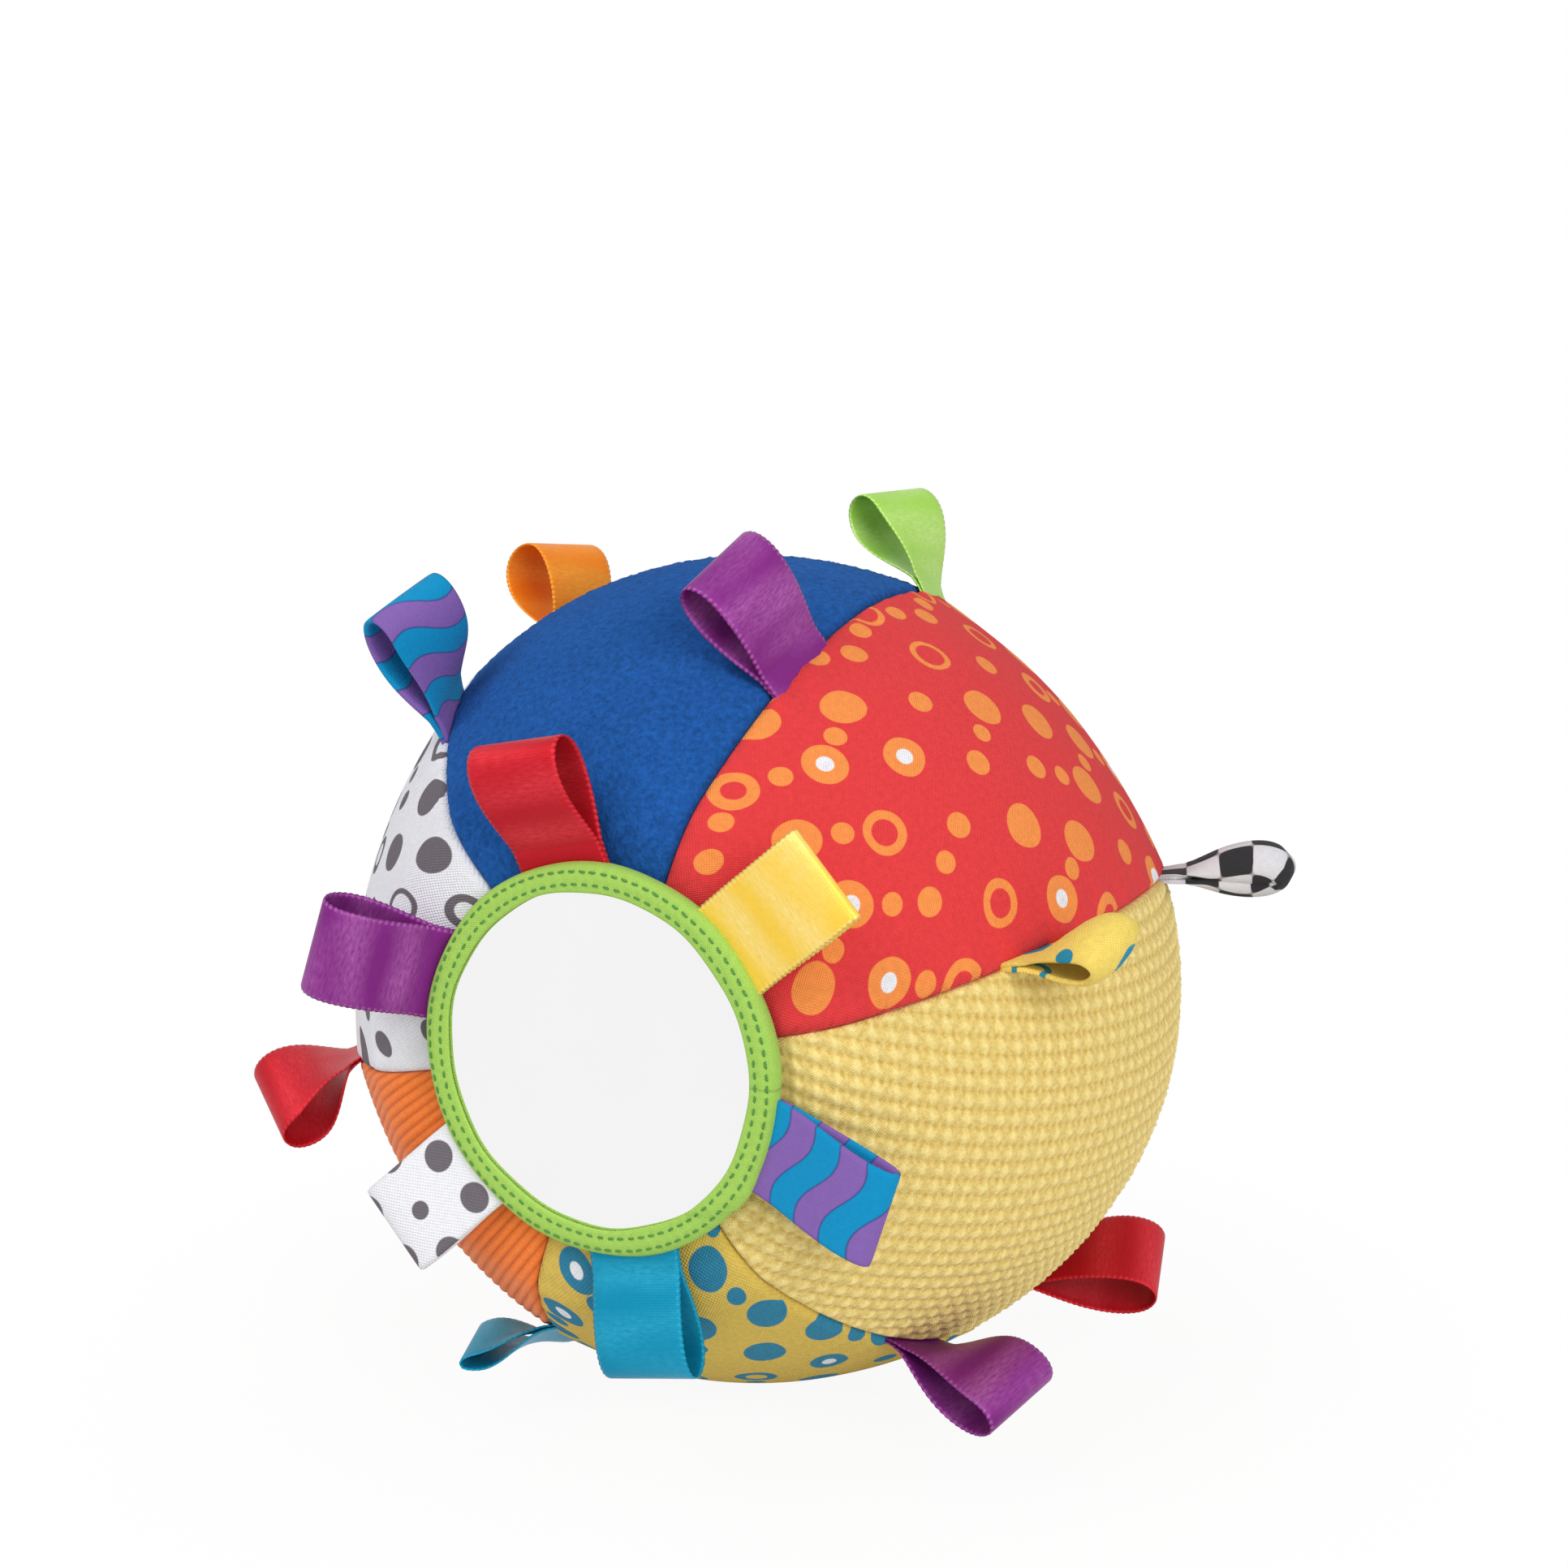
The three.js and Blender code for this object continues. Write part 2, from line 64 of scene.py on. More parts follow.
# Mesh helpers. Points are in millimetres until the mesh is made.

standIns = {}  # node to the piece that stands for it


def standFor(piece, node):
    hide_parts(node)
    standIns[node] = piece


def addObject(name, data):
    made = bpy.data.objects.new(name, data)
    bpy.context.scene.collection.objects.link(made)
    return made


def newPiece(name, points, faces, cloth=None, bake=None):
    mesh = bpy.data.meshes.new(name)
    mesh.from_pydata((np.asarray(points) * mm).tolist(), [], faces)
    corner = np.empty(len(mesh.loops), np.int32)
    mesh.loops.foreach_get("vertex_index", corner)
    for layerName, flat in (("cloth", cloth), ("OFBake", bake)):
        if flat is not None:
            layer = mesh.uv_layers.new(name=layerName)
            layer.data.foreach_set("uv", np.asarray(flat, np.float32)[corner].ravel())
    mesh.shade_smooth()
    mesh.update()
    return addObject(name, mesh)


# Faces between neighbouring rings of points.
def ringFaces(rings, count, start=0, wrapRings=False, wrapCount=True):
    faces = []
    for ring in range(rings if wrapRings else rings - 1):
        here = start + ring * count
        after = start + (ring + 1) % rings * count
        for c in range(count if wrapCount else count - 1):
            d = (c + 1) % count
            faces.append((here + c, here + d, after + d, after + c))
    return faces


def tubeFaces(rings, count, start=0):
    last = start + (rings - 1) * count
    ends = [tuple(range(start, start + count))[::-1], tuple(range(last, last + count))]
    return ringFaces(rings, count, start) + ends


# Closes the given rings with a face each, and turns all faces outwards.
def finishMesh(piece, rings=()):
    work = bmesh.new()
    work.from_mesh(piece.data)
    work.verts.ensure_lookup_table()
    for ring in rings:
        work.faces.new([work.verts[i] for i in ring])
    bmesh.ops.recalc_face_normals(work, faces=work.faces)
    work.to_mesh(piece.data)
    work.free()
    piece.data.shade_smooth()


def smoothStep(value, start, end):
    share = np.clip((value - start) / (end - start), 0, 1)
    return share * share * (3 - 2 * share)


# The ball's own surface, the same as the frame's: round, pressed flat behind the mirror.

ballShape = {
    "radius": 75.0,
    "seat": 61.7,  # from the centre to the flat behind the mirror
    "seatBlend": 4.0,
    "seatFacing": 0.3,  # the flat matters only where the surface faces the mirror more than this
    "tilt": 2.5,  # the mirror leans to the left by this
    "floorGap": 0.05,
    "seamGap": 0.12,  # half the gap between two panels
    "edgeRound": 1.5,  # the cloth rolls into the seam over this width
    "edgeDrop": 1.15,
    "edgeCalm": (0.2, 2.2),  # the cloth's relief fades out over this distance from the seam
    "foldCalm": (0.0, 1.2),
    "lumpRise": 0.3,
    "lumpReach": (0, 14),
    "turnIn": (1.2, 3.4),
    "firstTheta": 3.5,
    "lastTheta": 179.75,
}

panelCuts = [
    {"node": "panel_orange_corduroy", "piece": "corduroyPanel", "seam": -168, "drift": 0, "swell": -0.8,
     "along": 1.1, "across": 1.85 / 5, "relief": "wales", "depth": 0.4, "pucker": 0.1},
    {"node": "panel_yellow_print", "piece": "yellowPrintPanel", "seam": -110, "drift": 0, "swell": -0.8,
     "along": 1.1, "across": 1.1, "relief": "plain", "depth": 0, "pucker": 0.22},
    {"node": "panel_yellow_waffle", "piece": "wafflePanel", "seam": -52, "drift": 0, "swell": 1.4,
     "along": 3.1 / 8, "across": 3.0 / 6, "relief": "waffle", "depth": 0.8, "pucker": 0.1},
    {"node": "panel_red_print", "piece": "redPrintPanel", "seam": 12, "drift": 4, "swell": -2.2,
     "along": 1.1, "across": 1.1, "relief": "plain", "depth": 0, "pucker": 0.3},
    {"node": "panel_blue_fleece", "piece": "fleecePanel", "seam": 70, "drift": 0, "swell": 0.2,
     "along": 0.9, "across": 0.9, "relief": "nap", "depth": 0.1, "pucker": 0.1},
    {"node": "panel_white_print", "piece": "whitePrintPanel", "seam": 131, "drift": 0, "swell": -2.0,
     "along": 1.1, "across": 1.1, "relief": "plain", "depth": 0, "pucker": 0.22},
]

waleCloth = {"pitch": 1.85, "grain": math.radians(-2), "shape": 0.8, "uneven": 0.12, "unevenLength": 3.1}
waffleCloth = {"rib": 3.0, "bar": 3.1, "ribShape": 0.7, "puffShare": 0.85, "barShare": 0.55, "jitter": 0.05}
seamFold = {"length": 1.15, "wander": 1.7, "wanderLength": 9.0, "fineLength": 0.62, "fineWander": 2.0,
            "fineWanderLength": 5.0, "fineShare": 0.4, "reach": 5.0}

tiltAngle = math.radians(ballShape["tilt"])
mirrorNormal = np.array([-math.sin(tiltAngle), -math.cos(tiltAngle), 0.0])


def seamAngle(number, theta):
    cut = panelCuts[number]
    return np.radians(cut["seam"] + cut["drift"] * np.sin(theta) ** 2)


def spanOf(number, theta):
    after = (number + 1) % len(panelCuts)
    start = seamAngle(number, theta)
    end = seamAngle(after, theta) + (2 * math.pi if after == 0 else 0)
    return (start + end) / 2, (end - start) / 2


def onBall(theta, psi, radius):
    out = radius * np.sin(theta)
    return np.stack([out * np.cos(psi), -radius * np.cos(theta), out * np.sin(psi)], -1)


def surfaceRadius(number, theta, psi):
    middle, half = spanOf(number, theta)
    across = (psi - middle) / half
    full = ballShape["radius"] + panelCuts[number]["swell"] * (1 - across ** 2) * np.sin(theta) ** 2
    facing = onBall(theta, psi, np.ones_like(psi)) @ mirrorNormal
    seat = ballShape["seat"] * math.cos(tiltAngle) / np.maximum(facing, ballShape["seatFacing"])
    blend = ballShape["seatBlend"]
    share = np.maximum(blend - np.abs(full - seat), 0) / blend
    pressed = np.minimum(full, seat) - share ** 2 * blend / 4
    return np.where(facing < ballShape["seatFacing"], full, pressed)


# Slow unevenness of the stuffing.
def lumps(points):
    x, y, z = np.moveaxis(points / ballShape["radius"], -1, 0)
    return (np.sin(4.1 * x + 2.3 * z + 0.6) * np.sin(3.7 * y - 1.9 * x + 1.1)
            + 0.6 * np.sin(7.3 * z + 3.1 * y + 2.0) * np.sin(6.1 * x - 2.7 * z))


# Small folds that a seam pulls into the cloth beside it.
def seamFolds(along, away, seed):
    wander = seamFold["wander"] * np.sin(along / seamFold["wanderLength"] + seed)
    fineWander = seamFold["fineWander"] * np.sin(along / seamFold["fineWanderLength"] + seed * 1.3)
    wave = np.sin(along / seamFold["length"] + wander + seed * 2.1)
    fine = np.sin(along / seamFold["fineLength"] + fineWander)
    return (wave + seamFold["fineShare"] * fine) * np.exp(-away / seamFold["reach"])


def clothRelief(cut, along, across, random):
    if cut["relief"] == "wales":
        slanted = across * math.cos(waleCloth["grain"]) + along * math.sin(waleCloth["grain"])
        wave = np.abs(np.cos(np.pi * slanted / waleCloth["pitch"])) ** waleCloth["shape"]
        uneven = 1 + waleCloth["uneven"] * np.sin(along / waleCloth["unevenLength"] + across)
        return cut["depth"] * (wave - 1) * uneven
    if cut["relief"] == "waffle":
        ribs = 0.5 + 0.5 * np.cos(2 * np.pi * across / waffleCloth["rib"])
        bars = 0.5 + 0.5 * np.cos(2 * np.pi * along / waffleCloth["bar"])
        splits = 0.5 + 0.5 * np.cos(4 * np.pi * along / waffleCloth["bar"])
        puffs = ribs ** waffleCloth["ribShape"] * (1 - waffleCloth["barShare"] * (1 - bars))
        weave = waffleCloth["puffShare"] * puffs + (1 - waffleCloth["puffShare"]) * splits
        return cut["depth"] * (weave - 1) + random.normal(0, waffleCloth["jitter"], along.shape)
    if cut["relief"] == "nap":
        return random.normal(0, cut["depth"], along.shape)
    return np.zeros_like(along)


bakeSize = (100, 240)  # millimetres of flat cloth on a panel's baked picture


def panelLattice(number):
    cut = panelCuts[number]
    random = np.random.default_rng(40 + number)
    radius = ballShape["radius"]
    theta = np.radians(np.arange(ballShape["firstTheta"], ballShape["lastTheta"],
                                 math.degrees(cut["along"] / radius)))
    theta = np.append(theta, math.radians(ballShape["lastTheta"]))
    middle, half = spanOf(number, theta)
    width = radius * np.sin(theta) * half - ballShape["seamGap"]
    reach = int(width.max() / cut["across"]) + 1
    columns = np.arange(-reach, reach + 1)
    flat = columns * cut["across"]
    inside = np.abs(flat)[None, :] < width[:, None] - 0.3 * cut["across"]
    rows = len(theta)
    turns = len(ballShape["turnIn"])

    # Every row: the lattice points inside the cut, then its two edges, then the turned-in allowance.
    rowIndex, columnIndex = np.nonzero(inside)
    rowAll = np.concatenate([rowIndex] + [np.arange(rows)] * (2 + 2 * turns))
    edges = [side * width for side in (-1, 1) for _ in range(1 + turns)]
    acrossAll = np.concatenate([flat[columnIndex]] + edges)
    depths = [np.full(rows, depth) for depth in (0,) + ballShape["turnIn"]]
    sunk = np.concatenate([np.zeros(len(rowIndex))] + depths + depths)
    thetaAll = theta[rowAll]
    alongAll = radius * thetaAll
    psi = middle[rowAll] + acrossAll / (radius * np.sin(thetaAll))

    away = width[rowAll] - np.abs(acrossAll)
    roll = np.minimum(ballShape["edgeRound"], 0.4 * width[rowAll])
    share = np.clip(1 - away / roll, 0, 1)
    edge = ballShape["edgeDrop"] * (1 - np.sqrt(1 - 0.98 * share ** 2)) * np.minimum(width[rowAll] / 4, 1)
    calm = smoothStep(away, *ballShape["edgeCalm"])
    base = surfaceRadius(number, thetaAll, psi)
    place = onBall(thetaAll, psi, base)
    side = np.where(acrossAll < 0, 0.0, 1.0)
    folds = cut["pucker"] * seamFolds(alongAll, away, number + 3.3 * side)
    folds = folds * smoothStep(away, *ballShape["foldCalm"])
    rise = clothRelief(cut, alongAll, acrossAll, random) * calm + folds
    rise += ballShape["lumpRise"] * lumps(place) * smoothStep(away, *ballShape["lumpReach"])
    points = onBall(thetaAll, psi, base - edge - sunk + rise)
    points[:, 2] = np.maximum(points[:, 2] + centreHeight, ballShape["floorGap"] + sunk)

    inner = len(rowIndex)
    leftEdge = inner + np.arange(rows)
    rightEdge = inner + (1 + turns) * rows + np.arange(rows)
    numbers = np.where(columns[None, :] < 0, leftEdge[:, None], rightEdge[:, None])
    numbers[rowIndex, columnIndex] = np.arange(inner)
    quads = np.stack([numbers[:-1, :-1], numbers[1:, :-1], numbers[1:, 1:], numbers[:-1, 1:]], -1)
    quads = quads.reshape(-1, 4)
    whole = (quads[:, 0] != quads[:, 3]) & (quads[:, 1] != quads[:, 2])
    whole &= (quads[:, 0] != quads[:, 1]) & (quads[:, 2] != quads[:, 3])
    faces = quads[whole].tolist()
    for quad in quads[~whole]:
        short = [int(p) for i, p in enumerate(quad) if p != quad[i - 1]]
        if len(set(short)) >= 3:
            faces.append(short)
    for first, flip in ((leftEdge, True), (rightEdge, False)):
        for turn in range(turns):
            near = first + turn * rows
            deep = near + rows
            strip = np.stack([near[:-1], near[1:], deep[1:], deep[:-1]], -1)
            faces += (strip[:, ::-1] if flip else strip).tolist()
    cloth = np.stack([acrossAll, alongAll], -1) / flatUnit
    unfolded = np.sign(acrossAll) * (np.abs(acrossAll) + sunk)
    bake = np.stack([0.5 + unfolded / bakeSize[0], alongAll / bakeSize[1]], -1)
    flatArea = float(np.sum(2 * width) * cut["along"])
    size = (float(2 * width.max()), float(radius * (theta[-1] - theta[0])))
    return points, faces, cloth, bake, size, flatArea


for number, cut in enumerate(panelCuts):
    points, faces, cloth, bake, size, flatArea = panelLattice(number)
    panel = newPiece(cut["piece"], points, faces, cloth, bake)
    standFor(panel, cut["node"])
    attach(panel, "ball")
    print("panel", cut["piece"], len(points), "points")


# Mirror pad. Heights run out from the flat of the ball.

def onMirror(radius, angle, height):
    x = radius * np.cos(angle)
    y = -height
    z = radius * np.sin(angle)
    turnedX = x * math.cos(tiltAngle) + y * math.sin(tiltAngle)
    turnedY = -x * math.sin(tiltAngle) + y * math.cos(tiltAngle)
    return np.stack([turnedX, turnedY - ballShape["seat"], z + centreHeight], -1)


# A profile of radius and height, turned about the mirror's axis. change moves each point before it is placed.
def turnedPiece(name, profile, steps, closed, change=None):
    profile = np.asarray(profile, float)
    angle = np.linspace(0, 2 * math.pi, steps, endpoint=False)
    radius = np.repeat(profile[None, :, 0], steps, 0)
    height = np.repeat(profile[None, :, 1], steps, 0)
    around = np.repeat(angle[:, None], len(profile), 1)
    along = np.concatenate([[0], np.cumsum(np.hypot(*np.diff(profile, axis=0).T))])
    if change:
        radius, height = change(radius, height, around)
    points = onMirror(radius, around, height).reshape(-1, 3)
    faces = ringFaces(steps, len(profile), wrapRings=True, wrapCount=closed)
    cloth = np.stack([np.repeat(along[None], steps, 0), radius.mean(1, keepdims=True) * around], -1) / flatUnit
    return newPiece(name, points, faces, cloth.reshape(-1, 2))


bindingTape = {
    "steps": 420,
    "width": 13.5,  # of the flat tape
    "middle": 31.0,  # radius of the flat tape's middle line
    "stitchRows": (31.2, 29.15),
    "stitchPitch": 1.95,
    "stitchLength": 1.4,
    "stitchWidth": 0.38,
    "stitchHeight": 4.36,
    "joinAngle": -47.0,  # where the tape's two ends lap
    "joinReach": 15.0,
    "joinStart": (-0.8, 0.4),
    "joinSlant": 3.0,
    "joinRise": 0.42,
}

bindingProfile = [
    (28.10, 3.50), (27.90, 3.72), (27.86, 3.98), (28.02, 4.22), (28.45, 4.38), (29.15, 4.42), (29.9, 4.5),
    (30.6, 4.5), (31.2, 4.36), (31.8, 4.12), (32.2, 3.7), (32.46, 3.1), (32.54, 2.4), (32.46, 1.7),
    (32.2, 1.1), (31.7, 0.62), (31.0, 0.38), (29.8, 0.3), (28.4, 0.32), (27.95, 0.5), (28.1, 0.86),
    (29.8, 0.9), (31.2, 0.98), (31.75, 1.5), (31.86, 2.3), (31.75, 3.0), (31.2, 3.48), (29.6, 3.54),
]


def stitchCount(row):
    return round(2 * math.pi * row / bindingTape["stitchPitch"])


# 1 where the tape's ends lap, 0 elsewhere. The cut end runs aslant.
def lapShare(radius, around):
    turn = around - math.radians(bindingTape["joinAngle"])
    offset = np.degrees((turn + math.pi) % (2 * math.pi) - math.pi)
    slant = offset - bindingTape["joinSlant"] * (radius - 30)
    reach = bindingTape["joinReach"]
    return smoothStep(slant, *bindingTape["joinStart"]) * (1 - smoothStep(slant, reach * 0.4, reach))


# The tape dips at its stitches, wanders a little, and is thicker where its ends lap.
def tapeShape(radius, height, around):
    top = smoothStep(height, 3.9, 4.3)
    for row in bindingTape["stitchRows"]:
        dip = 0.16 + 0.1 * np.cos(around * stitchCount(row))
        height = height - top * dip * np.exp(-((radius - row) / 0.5) ** 2)
    wander = 0.12 * np.sin(7 * around + 0.4) + 0.08 * np.sin(13 * around + 1.9)
    rimWander = 0.1 * np.sin(9 * around)
    radius = radius + wander * smoothStep(radius, 30, 28) + rimWander * smoothStep(radius, 31, 32.4)
    rise = bindingTape["joinRise"] * lapShare(radius, around)
    outside = smoothStep(height, 0.9, 3.3)
    return radius + rise * outside * smoothStep(radius, 31.4, 32.4), height + rise * top


binding = turnedPiece("bindingTape", bindingProfile, bindingTape["steps"], True, tapeShape)
finishMesh(binding)
standFor(binding, "mirror_binding")
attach(binding, "ball")
print("binding made")


# One row of stitches: short lengths of thread, each sunk at its ends.
def stitchRow(name, node, row, seed):
    count = stitchCount(row)
    random = np.random.default_rng(seed)
    rings, sides = 7, 8
    points, faces = [], []
    for stitch in range(count):
        middle = 2 * math.pi * stitch / count + random.normal(0, 0.0025)
        half = bindingTape["stitchLength"] / row / 2 * random.uniform(0.92, 1.06)
        lean = random.normal(0, 0.05)
        start = len(points)
        for ring in range(rings):
            u = -1 + 2 * ring / (rings - 1)
            thick = bindingTape["stitchWidth"] / 2 * math.sqrt(max(1 - (0.93 * u) ** 4, 0.02))
            for corner in range(sides):
                turn = 2 * math.pi * corner / sides
                radius = row + lean * u + thick * math.cos(turn)
                height = bindingTape["stitchHeight"] - 0.3 * u ** 4 + thick * math.sin(turn)
                points.append((radius, middle + half * u, height))
        faces += tubeFaces(rings, sides, start)
    radius, around, height = np.array(points).T
    height = height + bindingTape["joinRise"] * lapShare(radius, around)
    stitches = newPiece(name, onMirror(radius, around, height), faces)
    finishMesh(stitches)
    standFor(stitches, node)
    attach(stitches, "ball")


outerRow, innerRow = bindingTape["stitchRows"]
stitchRow("stitchesOuter", "mirror_stitch_outer", outerRow, 7)
stitchRow("stitchesInner", "mirror_stitch_inner", innerRow, 8)
print("stitches made")

mirrorLayers = {
    "filmRadius": 31.5,
    "filmHeight": 3.2,
    "filmThickness": 0.3,
    "foamHeights": (1.9, 2.75),
    "backingHeights": (1.2, 1.6),
    "steps": 120,
    "rings": 16,
}


# A soft disc: full in the middle, drawn in to its edge, with a slow wave in its surface.
def softDisc(name, base, top, edgeRound, wave):
    outer = mirrorLayers["filmRadius"] - 0.1
    rings, steps = mirrorLayers["rings"], mirrorLayers["steps"]
    radii = np.concatenate([np.linspace(1.5, outer - edgeRound, rings), [outer - 0.3 * edgeRound, outer]])
    middle = (base + top) / 2
    half = (top - base) / 2
    full = np.concatenate([np.full(rings, half), [0.75 * half, 0.2 * half]])
    front = list(zip(radii, middle + full))
    back = list(zip(radii[::-1], middle - full[::-1]))

    def ripple(radius, height, around):
        share = radius / outer
        return radius, height + wave * (np.sin(2 * around + 0.7) * share ** 2 + 0.5 * np.sin(5 * around) * share ** 5)

    disc = turnedPiece(name, front + back, steps, False, ripple)
    count = len(front + back)
    finishMesh(disc, [range(0, steps * count, count), range(count - 1, steps * count, count)])
    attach(disc, "ball")
    return disc


filmTop = mirrorLayers["filmHeight"] + mirrorLayers["filmThickness"] / 2
mirrorFilm = softDisc("mirrorFilm", filmTop - mirrorLayers["filmThickness"], filmTop, 0.3, 0.07)
standFor(mirrorFilm, "mirror_film")
mirrorFoam = softDisc("mirrorFoam", *mirrorLayers["foamHeights"], 0.6, 0.05)
standFor(mirrorFoam, "mirror_foam")
mirrorBacking = softDisc("mirrorBacking", *mirrorLayers["backingHeights"], 0.3, 0.03)
standFor(mirrorBacking, "mirror_backing")
print("mirror made")


# Fibre filling: the frame's two halves, divided and made lumpy inwards.

tuftDepth = 0.7


def fibreHalf(name, node):
    work = bmesh.new()
    work.from_mesh(nodes[node].data)
    bmesh.ops.remove_doubles(work, verts=work.verts, dist=1e-6)
    bmesh.ops.subdivide_edges(work, edges=work.edges, cuts=1, use_grid_fill=True)
    work.normal_update()
    place = np.array([vert.co for vert in work.verts]) / mm
    x, y, z = place.T
    tuft = 0.5 + 0.5 * np.sin(x / 2.7 + np.sin(z / 3.9)) * np.sin(y / 3.3 + z / 4.1)
    for vert, deep in zip(work.verts, tuft):
        vert.co -= vert.normal * float(tuftDepth * deep * mm)
    mesh = bpy.data.meshes.new(name)
    work.to_mesh(mesh)
    work.free()
    mesh.shade_smooth()
    half = addObject(name, mesh)
    standFor(half, node)
    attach(half, "ball")


fibreHalf("fillingFront", "filling_front")
fibreHalf("fillingBack", "filling_back")
print("filling made")


# Loops. Each is a ribbon folded on itself, with both ends sewn in at the root.

satinLoop = {"thickness": 0.8, "cloth": 0.42, "width": 16.6, "step": 0.25, "columns": 8, "picot": 0.2, "edge": 0.12}
stripLoop = {"thickness": 1.2, "cloth": 1.0, "width": 16.4, "step": 0.6, "columns": 12, "picot": 0.0, "edge": 0.55}

# Millimetres and degrees. twist turns the tip about the loop's length, roll bends the two legs into a tube.
loopShapes = [
    {"node": "mirror_loop_red", "piece": "redMirrorLoop", "kind": satinLoop, "length": 21, "gap": 7, "sway": 0.8},
    {"node": "mirror_loop_yellow", "piece": "yellowMirrorLoop", "kind": satinLoop,
     "length": 22, "gap": 2.6, "sway": -0.6},
    {"node": "mirror_loop_wavy", "piece": "wavyMirrorLoop", "kind": stripLoop,
     "length": 22, "gap": 2.2, "sway": -0.8},
    {"node": "mirror_loop_sky", "piece": "skyMirrorLoop", "kind": satinLoop, "length": 20, "gap": 5.5, "sway": 0.6},
    {"node": "mirror_loop_dots", "piece": "dottedMirrorLoop", "kind": stripLoop,
     "length": 19, "gap": 2.2, "sway": 0.6},
    {"node": "mirror_loop_purple", "piece": "purpleMirrorLoop", "kind": satinLoop,
     "length": 21, "gap": 7, "sway": -0.8},
    {"node": "seam_loop_striped", "piece": "stripedSeamLoop", "kind": stripLoop,
     "length": 24, "gap": 6.5, "twist": -35, "roll": 0.2},
    {"node": "seam_loop_orange", "piece": "orangeSeamLoop", "kind": satinLoop,
     "length": 22, "gap": 11, "twist": -12, "sway": 0.5},
    {"node": "seam_loop_purple_top", "piece": "purpleTopSeamLoop", "kind": satinLoop,
     "length": 22, "gap": 7, "twist": -8},
    {"node": "seam_loop_green", "piece": "greenSeamLoop", "kind": satinLoop, "length": 21, "gap": 7, "twist": -30},
    {"node": "seam_loop_print", "piece": "printedSeamLoop", "kind": stripLoop,
     "length": 19, "gap": 6, "twist": 20, "roll": 0.62},
    {"node": "seam_loop_check", "piece": "checkedSeamLoop", "kind": stripLoop,
     "length": 23, "gap": 8, "twist": 35, "roll": 1.15},
    {"node": "seam_loop_purple_low", "piece": "purpleLowSeamLoop", "kind": satinLoop,
     "length": 23, "gap": 7, "twist": 35},
    {"node": "seam_loop_red_right", "piece": "redRightSeamLoop", "kind": satinLoop,
     "length": 26, "gap": 8, "twist": 12, "sway": 0.6},
    {"node": "seam_loop_sky", "piece": "skySeamLoop", "kind": satinLoop, "length": 17, "gap": 2.2, "twist": -30},
    {"node": "seam_loop_yellow_back", "piece": "yellowBackSeamLoop", "kind": satinLoop, "length": 19, "gap": 4.6},
    {"node": "seam_loop_red_left", "piece": "redLeftSeamLoop", "kind": satinLoop,
     "length": 19, "gap": 8, "twist": -42},
    {"node": "seam_loop_green_back", "piece": "greenBackSeamLoop", "kind": satinLoop,
     "length": 22, "gap": 7, "twist": 12},
]

loopDefaults = {"twist": 0, "roll": 0, "sway": 0}
picotPitch = 1.0  # millimetres between the small waves of a satin edge
rootSink = 2.6  # how far the ends go down into the seam
floorClear = 0.1


# The ribbon's line from one end to the other, in the plane across its width: out from the root, and sideways.
def loopLine(length, gap, thickness, step):
    neck = 2.6 * thickness + 0.3
    roundness = 1.4
    turn = np.linspace(0.02, 2 * math.pi - 0.02, 400)
    drop = np.sin(turn) * np.sin(turn / 2) ** roundness
    widest = 2 * math.atan(math.sqrt(1 + roundness))
    widest = math.sin(widest) * math.sin(widest / 2) ** roundness
    out = neck + (length - thickness - neck) * (1 - np.cos(turn)) / 2
    side = gap / 2 * drop / widest
    slope = np.stack([np.gradient(out), np.gradient(side)], -1)
    slope /= np.linalg.norm(slope, axis=1, keepdims=True)
    out = out - slope[:, 1] * thickness / 2
    side = side + slope[:, 0] * thickness / 2
    legOut = np.linspace(-rootSink, neck * 0.85, 14)
    legSide = side[0] * (0.62 + 0.38 * smoothStep(legOut, -0.5, neck))
    line = np.concatenate([np.stack([legOut, legSide], -1), np.stack([out, side], -1)[6:-6],
                           np.stack([legOut[::-1], -legSide[::-1]], -1)])
    run = np.concatenate([[0], np.cumsum(np.linalg.norm(np.diff(line, axis=0), axis=1))])
    even = np.linspace(0, run[-1], int(run[-1] / step) + 1)
    return np.stack([np.interp(even, run, line[:, 0]), np.interp(even, run, line[:, 1])], -1), even


